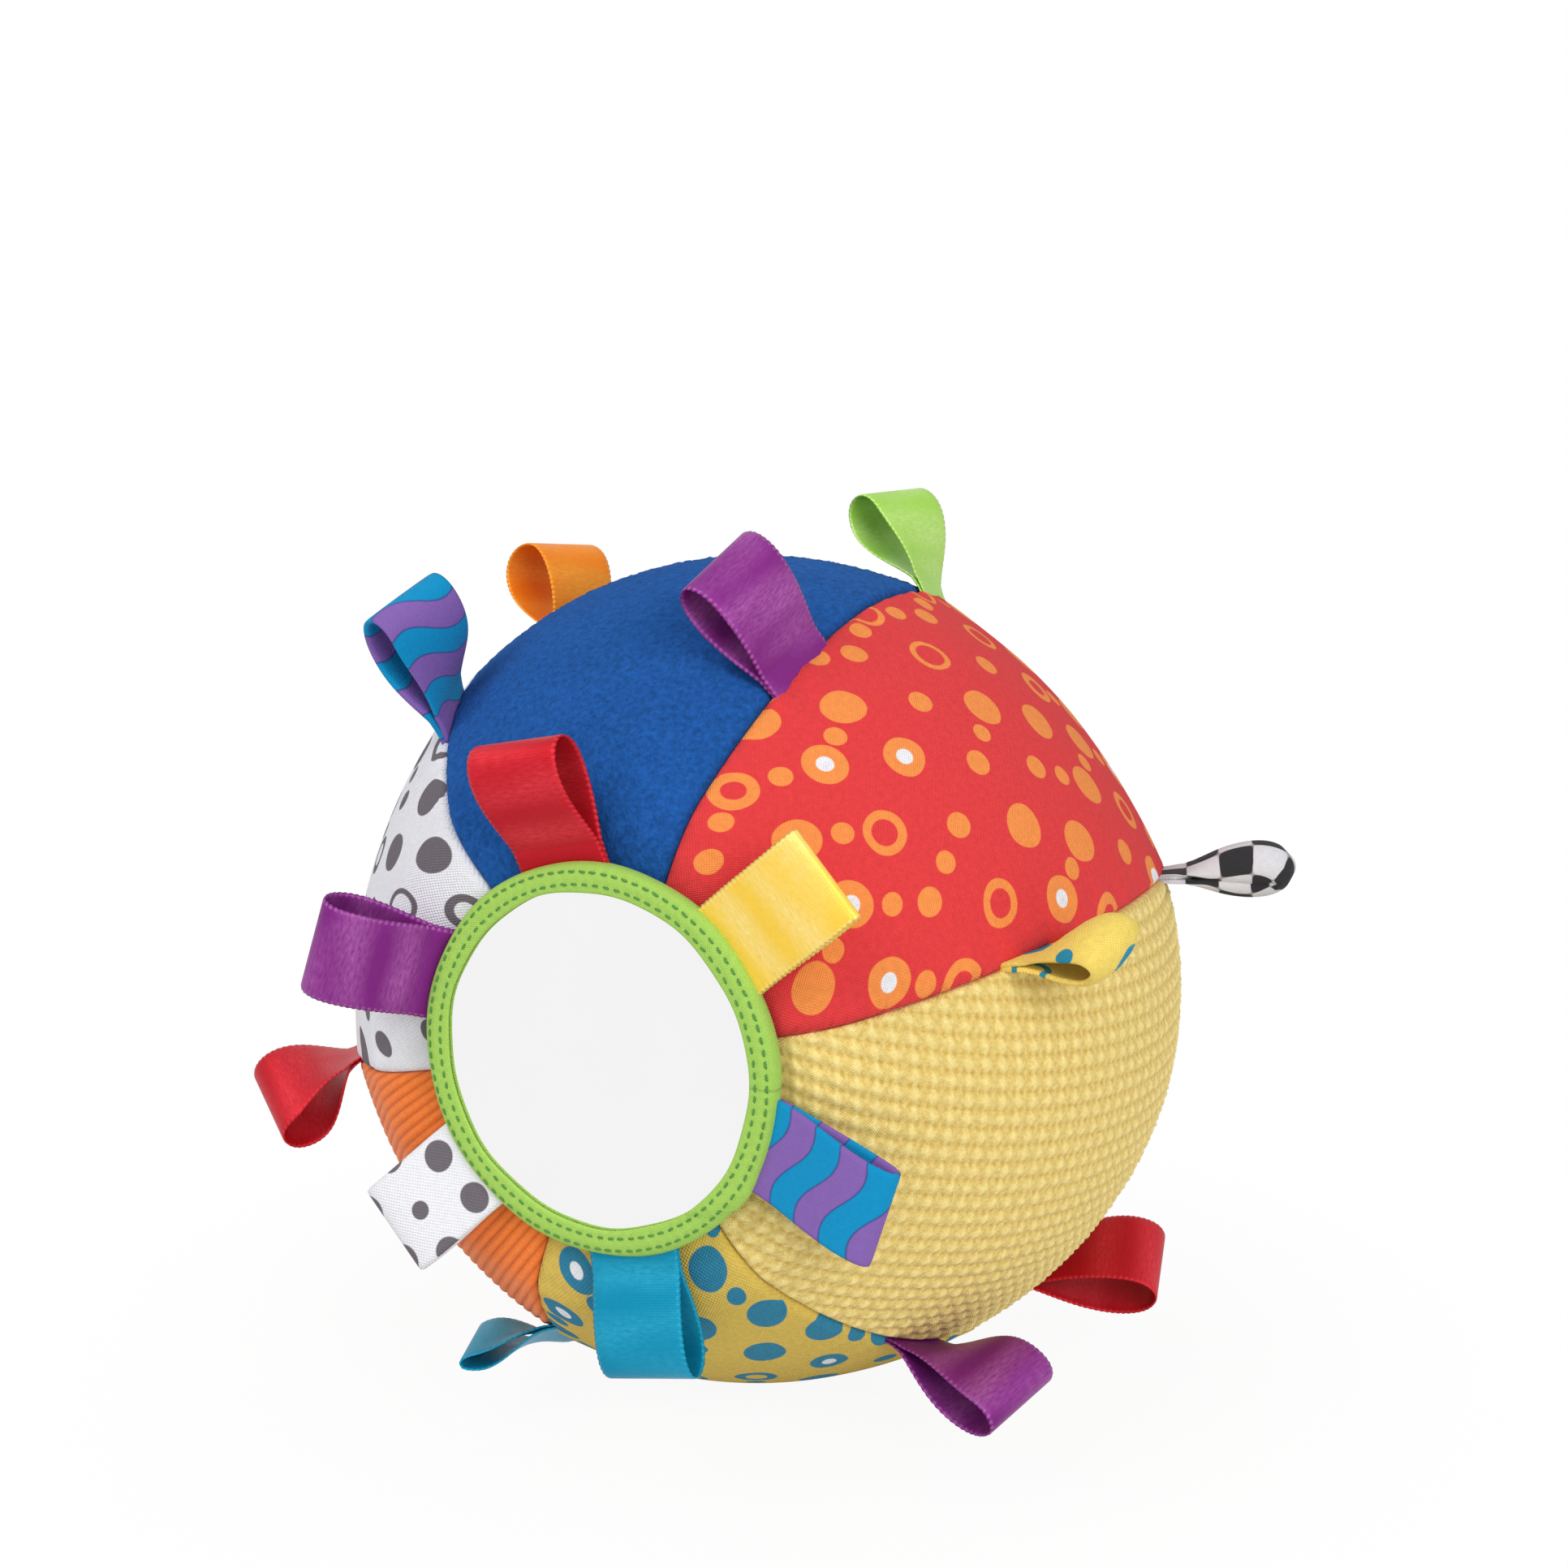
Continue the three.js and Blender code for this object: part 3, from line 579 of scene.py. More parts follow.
def makeLoop(shape):
    shape = {**loopDefaults, **shape}
    kind = shape["kind"]
    body = "body_" + shape["node"]
    hinge = hinges[body]
    root = np.array(hinge["pos_m"]) / mm
    wide = np.array(hinge["axis"], float)
    wide /= np.linalg.norm(wide)
    solid = np.array([vert.co for vert in nodes[shape["node"]].data.vertices]) / mm
    out = solid.mean(0) - root  # the solid's middle lies straight out from its root
    out -= wide * (out @ wide)
    out /= np.linalg.norm(out)
    side = np.cross(wide, out)

    line, run = loopLine(shape["length"], shape["gap"], kind["thickness"], kind["step"])
    slope = np.gradient(line, axis=0)
    slope /= np.linalg.norm(slope, axis=1, keepdims=True)
    facing = np.stack([-slope[:, 1], slope[:, 0]], -1)
    scallop = kind["picot"] * np.abs(np.sin(math.pi * run / picotPitch))
    halfWidth = kind["width"] / 2 + scallop - kind["picot"] / 2

    # Round the section once: the outer face one way, the inner face back.
    across = np.cos(np.linspace(math.pi, 0, kind["columns"] + 1))
    across = np.sign(across) * np.abs(across) ** 0.8
    ring = np.concatenate([across, across[::-1][1:-1]])
    face = np.concatenate([np.ones(kind["columns"] + 1), -np.ones(kind["columns"] - 1)])
    face[0] = face[kind["columns"]] = 0
    inset = np.clip((1 - np.abs(ring)) * kind["width"] / 2 / kind["edge"], 0, 1)
    thick = kind["cloth"] / 2 * face * np.sqrt(1 - 0.6 * (1 - inset) ** 2)
    count = len(ring)
    free = smoothStep(line[:, 0:1], 0, shape["length"] * 0.8)
    halfTurn = shape["roll"] * math.pi / 2 * smoothStep(line[:, 0:1], -1, shape["length"] * 0.35)
    halfTurn = np.maximum(halfTurn, 0.01)
    angle = ring[None, :] * halfTurn
    tuck = 1 - 0.28 * shape["roll"] ** 2 * ring[None, :] ** 4
    tip = smoothStep(line[:, 0:1], shape["length"] * 0.55, shape["length"])
    outAll = line[:, 0:1] + facing[:, 0:1] * thick[None, :] * np.cos(angle)
    outAll = outAll - 3.0 * shape["roll"] * tip * np.sin(angle) ** 2
    sideAll = (line[:, 1:2] + facing[:, 1:2] * thick[None, :]) * np.cos(angle) * tuck
    offset = (halfWidth[:, None] / halfTurn + thick[None, :]) * np.sin(angle) * tuck
    offset = offset + shape["sway"] * free
    turn = math.radians(shape["twist"]) * free
    sideTurned = sideAll * np.cos(turn) - offset * np.sin(turn)
    offsetTurned = offset * np.cos(turn) + sideAll * np.sin(turn)
    points = root + outAll[..., None] * out + sideTurned[..., None] * side + offsetTurned[..., None] * wide
    points = points.reshape(-1, 3)
    points[:, 2] = np.maximum(points[:, 2], floorClear)
    rows = len(line)
    acrossFlat = np.repeat(ring[None, :] * kind["width"] / 2, rows, 0)
    alongFlat = np.repeat(run[:, None], count, 1)
    cloth = np.stack([acrossFlat, alongFlat], -1) / flatUnit
    loop = newPiece(shape["piece"], points, tubeFaces(rows, count), cloth.reshape(-1, 2))
    finishMesh(loop)
    standFor(loop, shape["node"])
    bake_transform(loop)


for shape in loopShapes:
    makeLoop(shape)
print("loops made", len(loopShapes))


# Materials

def addNode(tree, kind, **settings):
    node = tree.nodes.new("ShaderNode" + kind)
    for key, value in settings.items():
        setattr(node, key, value)
    return node


# Links another node's output into a socket, or sets the socket's own value.
def feed(tree, socket, operand):
    if isinstance(operand, bpy.types.NodeSocket):
        tree.links.new(operand, socket)
    else:
        socket.default_value = operand


def calc(tree, operation, *operands, clamp=False):
    node = addNode(tree, "Math", operation=operation, use_clamp=clamp)
    for socket, operand in zip(node.inputs, operands):
        feed(tree, socket, operand)
    return node.outputs[0]


def times(tree, first, second, clamp=False):
    return calc(tree, "MULTIPLY", first, second, clamp=clamp)


def plus(tree, first, second, clamp=False):
    return calc(tree, "ADD", first, second, clamp=clamp)


def minus(tree, first, second, clamp=False):
    return calc(tree, "SUBTRACT", first, second, clamp=clamp)


# The value times a factor, plus a shift.
def scaled(tree, value, factor, shift, clamp=False):
    return calc(tree, "MULTIPLY_ADD", value, factor, shift, clamp=clamp)


# A wave that repeats every period millimetres, -1 to 1.
def waveOf(tree, value, period):
    return calc(tree, "SINE", times(tree, value, 2 * math.pi / period))


# The same from 0 to 1, highest at zero, as the ribs in the mesh are.
def humpOf(tree, value, period):
    return scaled(tree, calc(tree, "COSINE", times(tree, value, 2 * math.pi / period)), 0.5, 0.5)


def blendColour(tree, share, first, second):
    node = addNode(tree, "Mix", data_type="RGBA")
    feed(tree, node.inputs["Factor"], share)
    for title, colour in (("A", first), ("B", second)):
        feed(tree, node.inputs[title], (*colour, 1) if isinstance(colour, tuple) else colour)
    return node.outputs["Result"]


# Where a point lies on the flat cloth, in millimetres: across, and along.
def clothPlace(tree):
    flat = addNode(tree, "UVMap", uv_map="cloth")
    large = addNode(tree, "VectorMath", operation="SCALE")
    large.inputs["Scale"].default_value = flatUnit
    tree.links.new(flat.outputs["UV"], large.inputs[0])
    parts = addNode(tree, "SeparateXYZ")
    tree.links.new(large.outputs[0], parts.inputs[0])
    return large.outputs[0], parts.outputs["X"], parts.outputs["Y"]


def noiseOf(tree, place, scale, detail=2.0, rough=0.5):
    noise = addNode(tree, "TexNoise")
    for title, value in (("Vector", place), ("Scale", scale), ("Detail", detail), ("Roughness", rough)):
        feed(tree, noise.inputs[title], value)
    return noise.outputs[0]


def startGroup(name, inputs, outputs):
    group = bpy.data.node_groups.new(name, "ShaderNodeTree")
    for title, value in inputs.items():
        socket = group.interface.new_socket(name=title, in_out="INPUT", socket_type="NodeSocketFloat")
        socket.default_value = value
    for title in outputs:
        group.interface.new_socket(name=title, in_out="OUTPUT", socket_type="NodeSocketFloat")
    return group, group.nodes.new("NodeGroupInput").outputs, group.nodes.new("NodeGroupOutput").inputs


# Plain weave seen close: the crossings stand up, and single yarns vary.
def weaveGroup():
    group, given, result = startGroup("yarnWeave", {"Pitch": 0.5, "Uneven": 0.4}, ("Height", "Shade"))
    place, across, along = clothPlace(group)

    def yarns(value):
        return calc(group, "SINE", calc(group, "DIVIDE", times(group, value, 2 * math.pi), given["Pitch"]))

    crossing = scaled(group, times(group, yarns(across), yarns(along)), 0.5, 0.5)
    yarn = noiseOf(group, place, 0.9, 3.0)
    group.links.new(plus(group, crossing, times(group, yarn, given["Uneven"])), result["Height"])
    group.links.new(plus(group, times(group, crossing, 0.35), times(group, yarn, 0.65)), result["Shade"])
    return group


# Loose fibres on any surface, in the piece's own space.
def fuzzGroup():
    group, given, result = startGroup("fibreFuzz", {"Scale": 900.0}, ("Height", "Shade"))
    where = addNode(group, "TexCoord").outputs["Object"]
    fine = noiseOf(group, where, given["Scale"], 4.0, 0.7)
    broad = noiseOf(group, where, 60.0)
    clumps = scaled(group, fine, 2.4, -0.7, clamp=True)
    group.links.new(fine, result["Height"])
    group.links.new(plus(group, times(group, clumps, 0.7), times(group, broad, 0.3)), result["Shade"])
    return group


# Printed dots, one to a cell, of four kinds: large, small, open ring, and large with a pale core.
def dotGroup():
    dotInputs = {"Spacing": 11.0, "Size": 3.9, "Seed": 0.0, "Rings": 0.3, "Cores": 0.2, "Scatter": 0.2,
                 "Sprinkle": 0.5}
    group, given, result = startGroup("printedDots", dotInputs, ("Paint", "Core"))
    rowShare = 0.88  # height of a cell to its width
    crisp = 5.0  # how sharp a dot's rim is
    place, across, along = clothPlace(group)
    wobble = scaled(group, noiseOf(group, place, 0.16, 0.0), 0.3, 0.85)

    def cellChance(column, row, seed):
        cell = addNode(group, "CombineXYZ")
        for socket, value in zip(cell.inputs, (column, row, seed)):
            group.links.new(value, socket)
        chance = addNode(group, "TexWhiteNoise", noise_dimensions="3D")
        group.links.new(cell.outputs[0], chance.inputs["Vector"])
        return chance.outputs

    def fromMiddle(position, cellStart, draw, stretch):
        loose = times(group, minus(group, draw, 0.5), given["Scatter"])
        local = minus(group, minus(group, position, cellStart), plus(group, loose, 0.5))
        return times(group, local, times(group, given["Spacing"], stretch))

    def farFrom(dx, dy):
        squares = plus(group, times(group, dx, dx), times(group, dy, dy))
        return times(group, calc(group, "SQRT", squares), wobble)

    def within(limit, far):
        return times(group, minus(group, limit, far), crisp, clamp=True)

    up = calc(group, "DIVIDE", along, times(group, given["Spacing"], rowShare))
    row = calc(group, "FLOOR", up)
    shift = times(group, calc(group, "MODULO", calc(group, "ABSOLUTE", row), 2.0), 0.5)
    even = calc(group, "DIVIDE", across, given["Spacing"])
    right = plus(group, even, shift)
    column = calc(group, "FLOOR", right)
    chance = cellChance(column, row, given["Seed"])
    draws = addNode(group, "SeparateColor")
    group.links.new(chance["Color"], draws.inputs[0])
    first, second, third = draws.outputs[0], draws.outputs[1], draws.outputs[2]
    far = farFrom(fromMiddle(right, column, first, 1.0), fromMiddle(up, row, second, rowShare))
    isRing = calc(group, "LESS_THAN", chance["Value"], given["Rings"])
    isCored = calc(group, "GREATER_THAN", chance["Value"], minus(group, 1.0, given["Cores"]))
    isPlain = minus(group, 1.0, calc(group, "MAXIMUM", isRing, isCored))
    isSmall = times(group, calc(group, "LESS_THAN", third, 0.45), isPlain)
    size = times(group, given["Size"], scaled(group, isSmall, -0.38, 1.0))
    hole = times(group, within(times(group, size, scaled(group, third, 0.3, 0.5)), far), isRing)
    core = times(group, within(times(group, size, 0.4), far), isCored)
    large = minus(group, within(size, far), hole, clamp=True)

    # Small dots stand between the rows of large ones, in some of the places.
    upBetween = plus(group, up, 0.5)
    rowBetween = calc(group, "FLOOR", upBetween)
    rightBetween = plus(group, even, 0.25)
    columnBetween = calc(group, "FLOOR", rightBetween)
    chanceBetween = cellChance(columnBetween, rowBetween, plus(group, given["Seed"], 17.0))
    farBetween = farFrom(fromMiddle(rightBetween, columnBetween, 0.5, 1.0),
                         fromMiddle(upBetween, rowBetween, 0.5, rowShare))
    there = calc(group, "GREATER_THAN", chanceBetween["Value"], minus(group, 1.0, given["Sprinkle"]))
    small = times(group, within(times(group, given["Size"], 0.52), farBetween), there)
    group.links.new(calc(group, "MAXIMUM", large, small), result["Paint"])
    group.links.new(core, result["Core"])
    return group


yarnWeave = weaveGroup()
fibreFuzz = fuzzGroup()
printedDots = dotGroup()


def newMaterial(name, colour, plain):
    material = bpy.data.materials.new(name)
    material.use_nodes = True
    tree = material.node_tree
    shader = tree.nodes["Principled BSDF"]
    shader.inputs["Base Color"].default_value = (*colour, 1)
    for title, value in plain.items():
        shader.inputs[title].default_value = value
    return material, tree, shader


def placeGroup(tree, group, **values):
    node = addNode(tree, "Group", node_tree=group)
    for title, value in values.items():
        node.inputs[title].default_value = value
    return node.outputs


# Height of the bump in millimetres.
def addBump(tree, shader, height, distance, strength):
    bump = addNode(tree, "Bump")
    bump.inputs["Distance"].default_value = distance * mm
    bump.inputs["Strength"].default_value = strength
    tree.links.new(height, bump.inputs["Height"])
    tree.links.new(bump.outputs["Normal"], shader.inputs["Normal"])


# Darkens and lightens a colour by a 0 to 1 shade. tone is the darkest and the lightest factor.
def paintShaded(tree, shader, colour, shade, tone):
    dark, light = tone
    node = addNode(tree, "VectorMath", operation="SCALE")
    feed(tree, node.inputs[0], colour)
    tree.links.new(scaled(tree, shade, light - dark, dark), node.inputs["Scale"])
    tree.links.new(node.outputs[0], shader.inputs["Base Color"])


# Shade and bump from the same yarns or fibres.
def dress(tree, shader, colour, texture, tone, depth, strength):
    paintShaded(tree, shader, colour, texture["Shade"], tone)
    addBump(tree, shader, texture["Height"], depth, strength)


printCloth = {"Roughness": 0.88, "Sheen Weight": 0.04, "Sheen Roughness": 0.5, "Specular IOR Level": 0.15}
white = (0.84, 0.84, 0.88)
strongTone = (0.74, 1.24)
faintTone = (0.88, 1.09)

prints = {
    "redPrint": {
        "ground": (0.76, 0.048, 0.052), "paint": (0.92, 0.29, 0.07), "core": white, "pitch": 0.55, "tone": strongTone,
        "dots": {"Spacing": 13.6, "Size": 3.8, "Seed": 3.0, "Rings": 0.3, "Cores": 0.22, "Scatter": 0.12}},
    "yellowPrint": {
        "ground": (0.70, 0.50, 0.10), "paint": (0.03, 0.22, 0.36), "core": white, "pitch": 0.7, "tone": strongTone,
        "dots": {"Spacing": 13.4, "Size": 3.8, "Seed": 8.0, "Rings": 0.25, "Cores": 0.2, "Scatter": 0.12}},
    "whitePrint": {
        "ground": white, "paint": (0.16, 0.14, 0.16), "core": (0.74, 0.74, 0.78), "pitch": 0.7, "tone": faintTone,
        "dots": {"Spacing": 12.4, "Size": 3.7, "Seed": 9.0, "Rings": 0.28, "Cores": 0.0, "Scatter": 0.12}},
    "dottedStrip": {
        "ground": white, "paint": (0.16, 0.14, 0.16), "core": (0.74, 0.74, 0.78), "pitch": 0.7, "tone": faintTone,
        "dots": {"Spacing": 9.6, "Size": 2.7, "Seed": 2.0, "Rings": 0.0, "Cores": 0.0, "Scatter": 0.15,
                 "Sprinkle": 0.0}},
    "printedStrip": {
        "ground": (0.88, 0.66, 0.14), "paint": (0.02, 0.27, 0.42), "core": white, "pitch": 0.6, "tone": strongTone,
        "dots": {"Spacing": 14.0, "Size": 3.4, "Seed": 6.0, "Rings": 0.4, "Cores": 0.1, "Scatter": 0.2,
                 "Sprinkle": 0.2}},
}


def printMaterial(name):
    look = prints[name]
    material, tree, shader = newMaterial(name, look["ground"], printCloth)
    weave = placeGroup(tree, yarnWeave, Pitch=look["pitch"], Uneven=0.5)
    marks = placeGroup(tree, printedDots, **look["dots"])
    colour = blendColour(tree, marks["Paint"], look["ground"], look["paint"])
    colour = blendColour(tree, marks["Core"], colour, look["core"])
    dress(tree, shader, colour, weave, look["tone"], 0.2, 0.7)
    return material


fleeceCloth = {"Roughness": 0.95, "Sheen Weight": 0.15, "Sheen Roughness": 0.45, "Sheen Tint": (0.2, 0.45, 0.95, 1),
               "Specular IOR Level": 0.05}


def waffleMaterial():
    plain = {"Roughness": 0.9, "Sheen Weight": 0.12, "Sheen Roughness": 0.5, "Specular IOR Level": 0.2}
    # Painted shade: the pockets between the puffs take a darker, shaded copy of the yellow, and the puffs a lighter,
    # lit copy.
    shadedHollow, litPuff = (0.65, 0.425, 0.08), (0.97, 0.79, 0.31)
    material, tree, shader = newMaterial("yellowWaffle", litPuff, plain)
    place, across, along = clothPlace(tree)
    ribs = humpOf(tree, across, waffleCloth["rib"])
    bars = humpOf(tree, along, waffleCloth["bar"])
    splits = humpOf(tree, along, waffleCloth["bar"] / 2)
    puffs = times(tree, calc(tree, "POWER", ribs, waffleCloth["ribShape"]), scaled(tree, bars, 0.5, 0.42))
    pockets = times(tree, minus(tree, 1.0, ribs), scaled(tree, splits, 0.4, 0.1))
    grain = scaled(tree, noiseOf(tree, place, 1.5, 3.0, 0.75), 1.7, -0.82)
    # Painted shade from the relief's height, with noise for uneven tone: 0 in the shaded pockets, 1 on the lit puffs.
    shadeAndGrainShare = plus(tree, plus(tree, puffs, pockets), grain, clamp=True)
    weave = placeGroup(tree, yarnWeave, Pitch=0.48, Uneven=0.6)
    dress(tree, shader, blendColour(tree, shadeAndGrainShare, shadedHollow, litPuff), weave, (0.84, 1.14), 0.2, 0.6)
    return material


def corduroyMaterial():
    plain = {"Roughness": 0.9, "Sheen Weight": 0.25, "Sheen Roughness": 0.4, "Specular IOR Level": 0.2}
    # Painted shade: the grooves between the wales take a darker, shaded copy of the orange, and the ridges a lighter,
    # lit copy.
    shadedGroove, litRidge = (0.60, 0.105, 0.016), (0.93, 0.225, 0.04)
    material, tree, shader = newMaterial("orangeCorduroy", litRidge, plain)
    place, across, along = clothPlace(tree)
    slanted = plus(tree, times(tree, across, math.cos(waleCloth["grain"])),
                   times(tree, along, math.sin(waleCloth["grain"])))
    wale = calc(tree, "ABSOLUTE", calc(tree, "COSINE", times(tree, slanted, math.pi / waleCloth["pitch"])))
    fuzz = placeGroup(tree, fibreFuzz, Scale=1800.0)
    # Painted shade across each wale: dark in the groove, light on the ridge.
    colour = blendColour(tree, calc(tree, "POWER", wale, 0.6), shadedGroove, litRidge)
    dress(tree, shader, colour, fuzz, (0.84, 1.16), 0.22, 0.6)
    return material


# pale is the colour of the woven edge, and also the colour of the painted highlight.
satins = {
    "redSatin": {"colour": (0.52, 0.008, 0.018), "pale": (0.80, 0.05, 0.07)},
    "yellowSatin": {"colour": (0.95, 0.62, 0.07), "pale": (0.98, 0.82, 0.36)},
    "skySatin": {"colour": (0.002, 0.25, 0.42), "pale": (0.03, 0.40, 0.60)},
    "purpleSatin": {"colour": (0.21, 0.018, 0.21), "pale": (0.50, 0.15, 0.48)},
    "orangeSatin": {"colour": (0.92, 0.24, 0.012), "pale": (0.97, 0.46, 0.06)},
    "greenSatin": {"colour": (0.36, 0.66, 0.09), "pale": (0.62, 0.84, 0.32)},
}
satinWeave = {"borderWidth": 0.7, "borderPitch": 1.05, "threadPitch": 0.42, "crosswise": (0.3, 1, 1)}


# Satin: fine yarns across the ribbon, a painted highlight in broad pale bands, and a paler woven edge.
def satinMaterial(name):
    look = satins[name]
    plain = {"Metallic": 0.25, "Anisotropic": 0.6, "Specular IOR Level": 0.12}
    material, tree, shader = newMaterial(name, look["colour"], plain)
    place, across, along = clothPlace(tree)
    weave = placeGroup(tree, yarnWeave, Pitch=0.32, Uneven=0.3)
    picots = scaled(tree, waveOf(tree, along, satinWeave["borderPitch"]), 0.5, 0.5)
    inside = satinLoop["width"] / 2 - satinWeave["borderWidth"]
    border = calc(tree, "GREATER_THAN", calc(tree, "ABSOLUTE", across), inside)
    crosswise = addNode(tree, "VectorMath", operation="MULTIPLY")
    crosswise.inputs[1].default_value = satinWeave["crosswise"]
    tree.links.new(place, crosswise.inputs[0])
    # Painted highlight: broad noise bands along the ribbon, grained by the yarns, lighten it towards its pale colour,
    # as a sheen would.
    broad = scaled(tree, noiseOf(tree, crosswise.outputs[0], 0.11, 1.0), 4.0, -1.6, clamp=True)
    yarns = noiseOf(tree, crosswise.outputs[0], 2.2, 2.0, 0.6)
    paintedHighlight = times(tree, broad, scaled(tree, yarns, 1.6, -0.3, clamp=True))
    edge = times(tree, times(tree, border, picots), 0.55)
    # The woven edge takes the pale colour as its own colour; the painted highlight takes it as painted sheen.
    tint = blendColour(tree, calc(tree, "MAXIMUM", edge, paintedHighlight), look["colour"], look["pale"])
    paintShaded(tree, shader, tint, weave["Shade"], (0.88, 1.1))
    threads = waveOf(tree, along, satinWeave["threadPitch"])
    tree.links.new(scaled(tree, weave["Shade"], 0.2, 0.26), shader.inputs["Roughness"])
    addBump(tree, shader, plus(tree, times(tree, threads, 0.35), weave["Height"]), 0.05, 0.5)
    return material


wavyStripe = {"width": 10.5, "wander": 2.4, "wanderLength": 22, "blue": (0.003, 0.27, 0.54),
              "purple": (0.23, 0.12, 0.42), "outline": (0.03, 0.06, 0.22)}


def wavyMaterial():
    material, tree, shader = newMaterial("wavyStrip", wavyStripe["blue"], printCloth)
    place, across, along = clothPlace(tree)
    wander = times(tree, waveOf(tree, across, wavyStripe["wanderLength"]), wavyStripe["wander"])
    band = waveOf(tree, plus(tree, along, wander), wavyStripe["width"])
    share = scaled(tree, band, 9.0, 0.5, clamp=True)
    outline = minus(tree, 0.85, times(tree, calc(tree, "ABSOLUTE", band), 5.0), clamp=True)
    colour = blendColour(tree, share, wavyStripe["blue"], wavyStripe["purple"])
    colour = blendColour(tree, outline, colour, wavyStripe["outline"])
    weave = placeGroup(tree, yarnWeave, Pitch=0.5, Uneven=0.5)
    dress(tree, shader, colour, weave, (0.86, 1.12), 0.14, 0.5)
    return material


checkWeave = {"across": 5.6, "along": 6.2, "bend": 0.8, "bendLength": 21, "black": (0.03, 0.03, 0.033),
              "white": (0.66, 0.65, 0.68)}


def checkMaterial():
    material, tree, shader = newMaterial("checkedStrip", checkWeave["white"], printCloth)
    place, across, along = clothPlace(tree)
    bend = times(tree, waveOf(tree, along, checkWeave["bendLength"]), checkWeave["bend"])
    columns = waveOf(tree, plus(tree, across, bend), 2 * checkWeave["across"])
    rows = waveOf(tree, along, 2 * checkWeave["along"])
    share = scaled(tree, times(tree, columns, rows), 14.0, 0.5, clamp=True)
    colour = blendColour(tree, share, checkWeave["black"], checkWeave["white"])
    weave = placeGroup(tree, yarnWeave, Pitch=0.5, Uneven=0.5)
    dress(tree, shader, colour, weave, (0.86, 1.12), 0.14, 0.5)
    return material


softCloth = {"Roughness": 0.88, "Sheen Weight": 0.05, "Specular IOR Level": 0.15}


def plainCloth(name, colour, pitch):
    material, tree, shader = newMaterial(name, colour, softCloth)
    weave = placeGroup(tree, yarnWeave, Pitch=pitch, Uneven=0.5)
    dress(tree, shader, colour, weave, (0.84, 1.12), 0.16, 0.6)
    return material


# Fleece, thread, foam, fibre and moulded plastic: these need no map of the flat cloth.
def fuzzyMaterial(name, colour, scale, depth, plain, tone=(0.8, 1.18), strength=0.6):
    material, tree, shader = newMaterial(name, colour, plain)
    dress(tree, shader, colour, placeGroup(tree, fibreFuzz, Scale=scale), tone, depth, strength)
    return material


def filmMaterial():
    silver = (0.9, 0.9, 0.9)
    material, tree, shader = newMaterial("mirrorSilver", silver, {"Metallic": 1.0, "Roughness": 0.06})
    fuzz = placeGroup(tree, fibreFuzz, Scale=25.0)
    tree.links.new(scaled(tree, fuzz["Shade"], 0.05, 0.03), shader.inputs["Roughness"])
    paintShaded(tree, shader, silver, fuzz["Shade"], (0.985, 1.01))
    return material


threadLook = {"Roughness": 0.7}
finishes = {
    "fleece_blue": fuzzyMaterial("blueFleece", (0.014, 0.09, 0.335), 950.0, 0.7, fleeceCloth, (0.5, 1.5), 0.7),
    "waffle_yellow": waffleMaterial(),
    "corduroy_orange": corduroyMaterial(),
    "print_red": printMaterial("redPrint"),
    "print_yellow": printMaterial("yellowPrint"),
    "print_white": printMaterial("whitePrint"),
    "strip_dots": printMaterial("dottedStrip"),
    "strip_print": printMaterial("printedStrip"),
    "strip_wavy": wavyMaterial(),
    "strip_check": checkMaterial(),
    "ribbon_red": satinMaterial("redSatin"),
    "ribbon_yellow": satinMaterial("yellowSatin"),
    "ribbon_sky": satinMaterial("skySatin"),
    "ribbon_purple": satinMaterial("purpleSatin"),
    "ribbon_orange": satinMaterial("orangeSatin"),
    "ribbon_green": satinMaterial("greenSatin"),
    "binding_green": plainCloth("bindingGreen", (0.37, 0.62, 0.11), 0.5),
    "mirror_backing": plainCloth("backingCloth", (0.80, 0.77, 0.72), 0.6),
    "mirror_film": filmMaterial(),
    "mirror_foam": fuzzyMaterial("foamWhite", (0.84, 0.84, 0.82), 700.0, 0.2, {"Roughness": 0.95}),
    "filling": fuzzyMaterial("fibreWhite", (0.86, 0.85, 0.82), 500.0, 0.6, {"Roughness": 0.95, "Sheen Weight": 0.2}),
    "thread_green": fuzzyMaterial("threadGreen", (0.075, 0.25, 0.045), 3500.0, 0.05, threadLook),
    "thread_seam": fuzzyMaterial("threadPale", (0.80, 0.78, 0.72), 3500.0, 0.05, threadLook),
    "rattle_plastic": fuzzyMaterial("capsulePlastic", (0.70, 0.73, 0.76), 250.0, 0.02, {"Roughness": 0.32}),
    "bead_plastic": fuzzyMaterial("beadPlastic", (0.64, 0.05, 0.05), 300.0, 0.02, {"Roughness": 0.28}),
}
for part in frame["record"]["subparts"]:
    slot = part["material_slot"]
    piece = standIns.get(part["node"])
    if piece:
        piece.data.materials.clear()
        piece.data.materials.append(finishes[slot])
    else:
        for place in nodes[part["node"]].material_slots:
            place.material = finishes[slot]
print("materials on", len(standIns), "pieces")


# Floor, light and camera.

studio = {
    "worldLevel": 0.46,
    "floorSize": 8.0,
    "floorColour": (0.86, 0.86, 0.86),
    "floorShow": 0.93,  # share of plain white under the ball
    "floorFade": (0.05, 0.17),  # from there it rises to full white
    "lampTarget": (0, 0, 0.07),
    "lampSize": 0.9,
}
lamps = {
    "keyLamp": {"place": (-0.55, -0.9, 1.2), "power": 9.0},
    "fillLamp": {"place": (1.05, -0.9, 0.75), "power": 11.0},
}


# 1 where a surface is seen, straight or by reflection, and 0 where it lights another.
def seenShare(tree):
    rays = addNode(tree, "LightPath").outputs
    straight = calc(tree, "MAXIMUM", rays["Is Camera Ray"], rays["Is Glossy Ray"])
    return calc(tree, "MAXIMUM", straight, rays["Is Transmission Ray"])


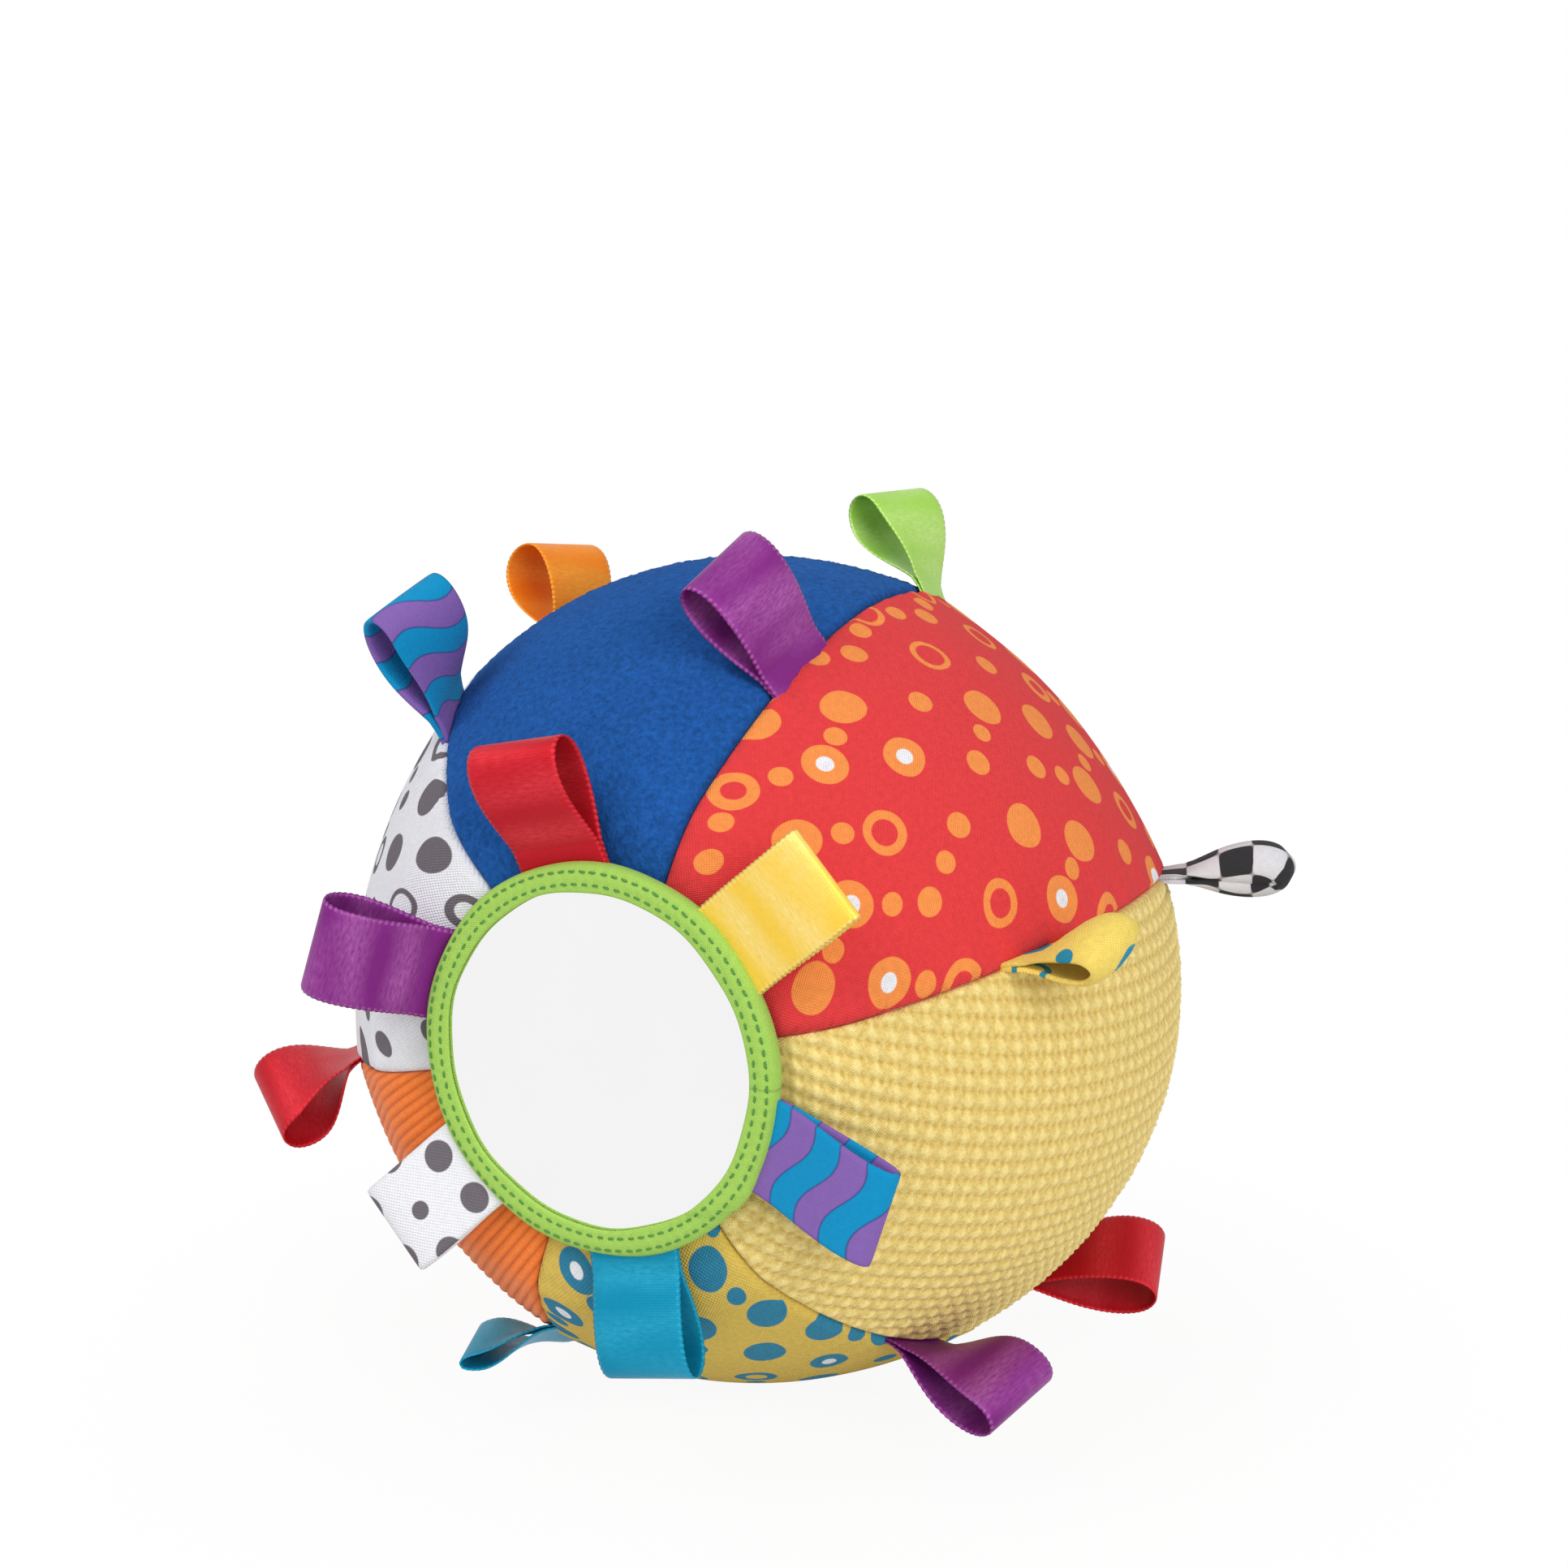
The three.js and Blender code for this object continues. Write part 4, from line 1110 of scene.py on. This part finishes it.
def buildFloor():
    size = studio["floorSize"] / 2
    mesh = bpy.data.meshes.new("floor")
    mesh.from_pydata([(-size, -size, 0), (size, -size, 0), (size, size, 0), (-size, size, 0)], [], [(0, 1, 2, 3)])
    material, tree, shader = newMaterial("floorWhite", studio["floorColour"], {"Roughness": 0.9})
    distance = addNode(tree, "VectorMath", operation="LENGTH")
    tree.links.new(addNode(tree, "TexCoord").outputs["Object"], distance.inputs[0])
    fade = addNode(tree, "MapRange", interpolation_type="SMOOTHSTEP")
    fade.inputs["From Min"].default_value, fade.inputs["From Max"].default_value = studio["floorFade"]
    fade.inputs["To Min"].default_value = studio["floorShow"]
    fade.inputs["To Max"].default_value = 1.0
    tree.links.new(distance.outputs["Value"], fade.inputs["Value"])
    mix = addNode(tree, "MixShader")
    tree.links.new(times(tree, seenShare(tree), fade.outputs[0]), mix.inputs[0])
    tree.links.new(shader.outputs[0], mix.inputs[1])
    tree.links.new(addNode(tree, "Emission").outputs[0], mix.inputs[2])
    tree.links.new(mix.outputs[0], tree.nodes["Material Output"].inputs["Surface"])
    mesh.materials.append(material)
    addObject("floor", mesh)


def buildWorld():
    world = bpy.data.worlds.new("studioWorld")
    world.use_nodes = True
    bpy.context.scene.world = world
    tree = world.node_tree
    background = tree.nodes["Background"]
    background.inputs["Color"].default_value = (1, 1, 1, 1)
    level = scaled(tree, seenShare(tree), 1 - studio["worldLevel"], studio["worldLevel"])
    tree.links.new(level, background.inputs["Strength"])


def addLamp(name):
    light = bpy.data.lights.new(name, "AREA")
    light.energy = lamps[name]["power"]
    light.shape = "DISK"
    light.size = studio["lampSize"]
    holder = addObject(name, light)
    holder.location = lamps[name]["place"]
    holder.rotation_mode = "QUATERNION"
    aim = Vector(studio["lampTarget"]) - Vector(lamps[name]["place"])
    holder.rotation_quaternion = aim.to_track_quat("-Z", "Y")


viewFrom = {
    "azimuth": 24.4,
    "elevation": 14.8,
    "distance": 450.0,
    "lens": 56.0,
    "sensor": 36.0,
    "nearest": 0.01,
    "ballAt": (941, 1191),  # pixel of the ball's middle
    "imageSize": 1932,
}


# The ball's middle falls on the pixel ballAt, so the camera looks a little past it.
def buildCamera():
    azimuth = math.radians(viewFrom["azimuth"])
    elevation = math.radians(viewFrom["elevation"])
    level = math.cos(elevation)
    back = Vector((math.sin(azimuth) * level, -math.cos(azimuth) * level, math.sin(elevation)))
    view = bpy.data.cameras.new("photoCamera")
    view.lens = viewFrom["lens"]
    view.sensor_width = viewFrom["sensor"]
    view.clip_start = viewFrom["nearest"]
    camera = addObject("photoCamera", view)
    camera.location = Vector((0, 0, centreHeight * mm)) + back * viewFrom["distance"] * mm
    half = viewFrom["imageSize"] / 2
    focal = viewFrom["lens"] / viewFrom["sensor"] * viewFrom["imageSize"]
    right = (half - viewFrom["ballAt"][0]) / focal
    up = (viewFrom["ballAt"][1] - half) / focal
    aim = (-back).to_track_quat("-Z", "Y") @ Vector((right, up, -1)).normalized()
    camera.rotation_mode = "QUATERNION"
    camera.rotation_quaternion = aim.to_track_quat("-Z", "Y")
    bpy.context.scene.camera = camera


buildFloor()
buildWorld()
for lampName in lamps:
    addLamp(lampName)
buildCamera()
bpy.context.scene.view_settings.view_transform = "Standard"
print("stage, lamps and camera set")
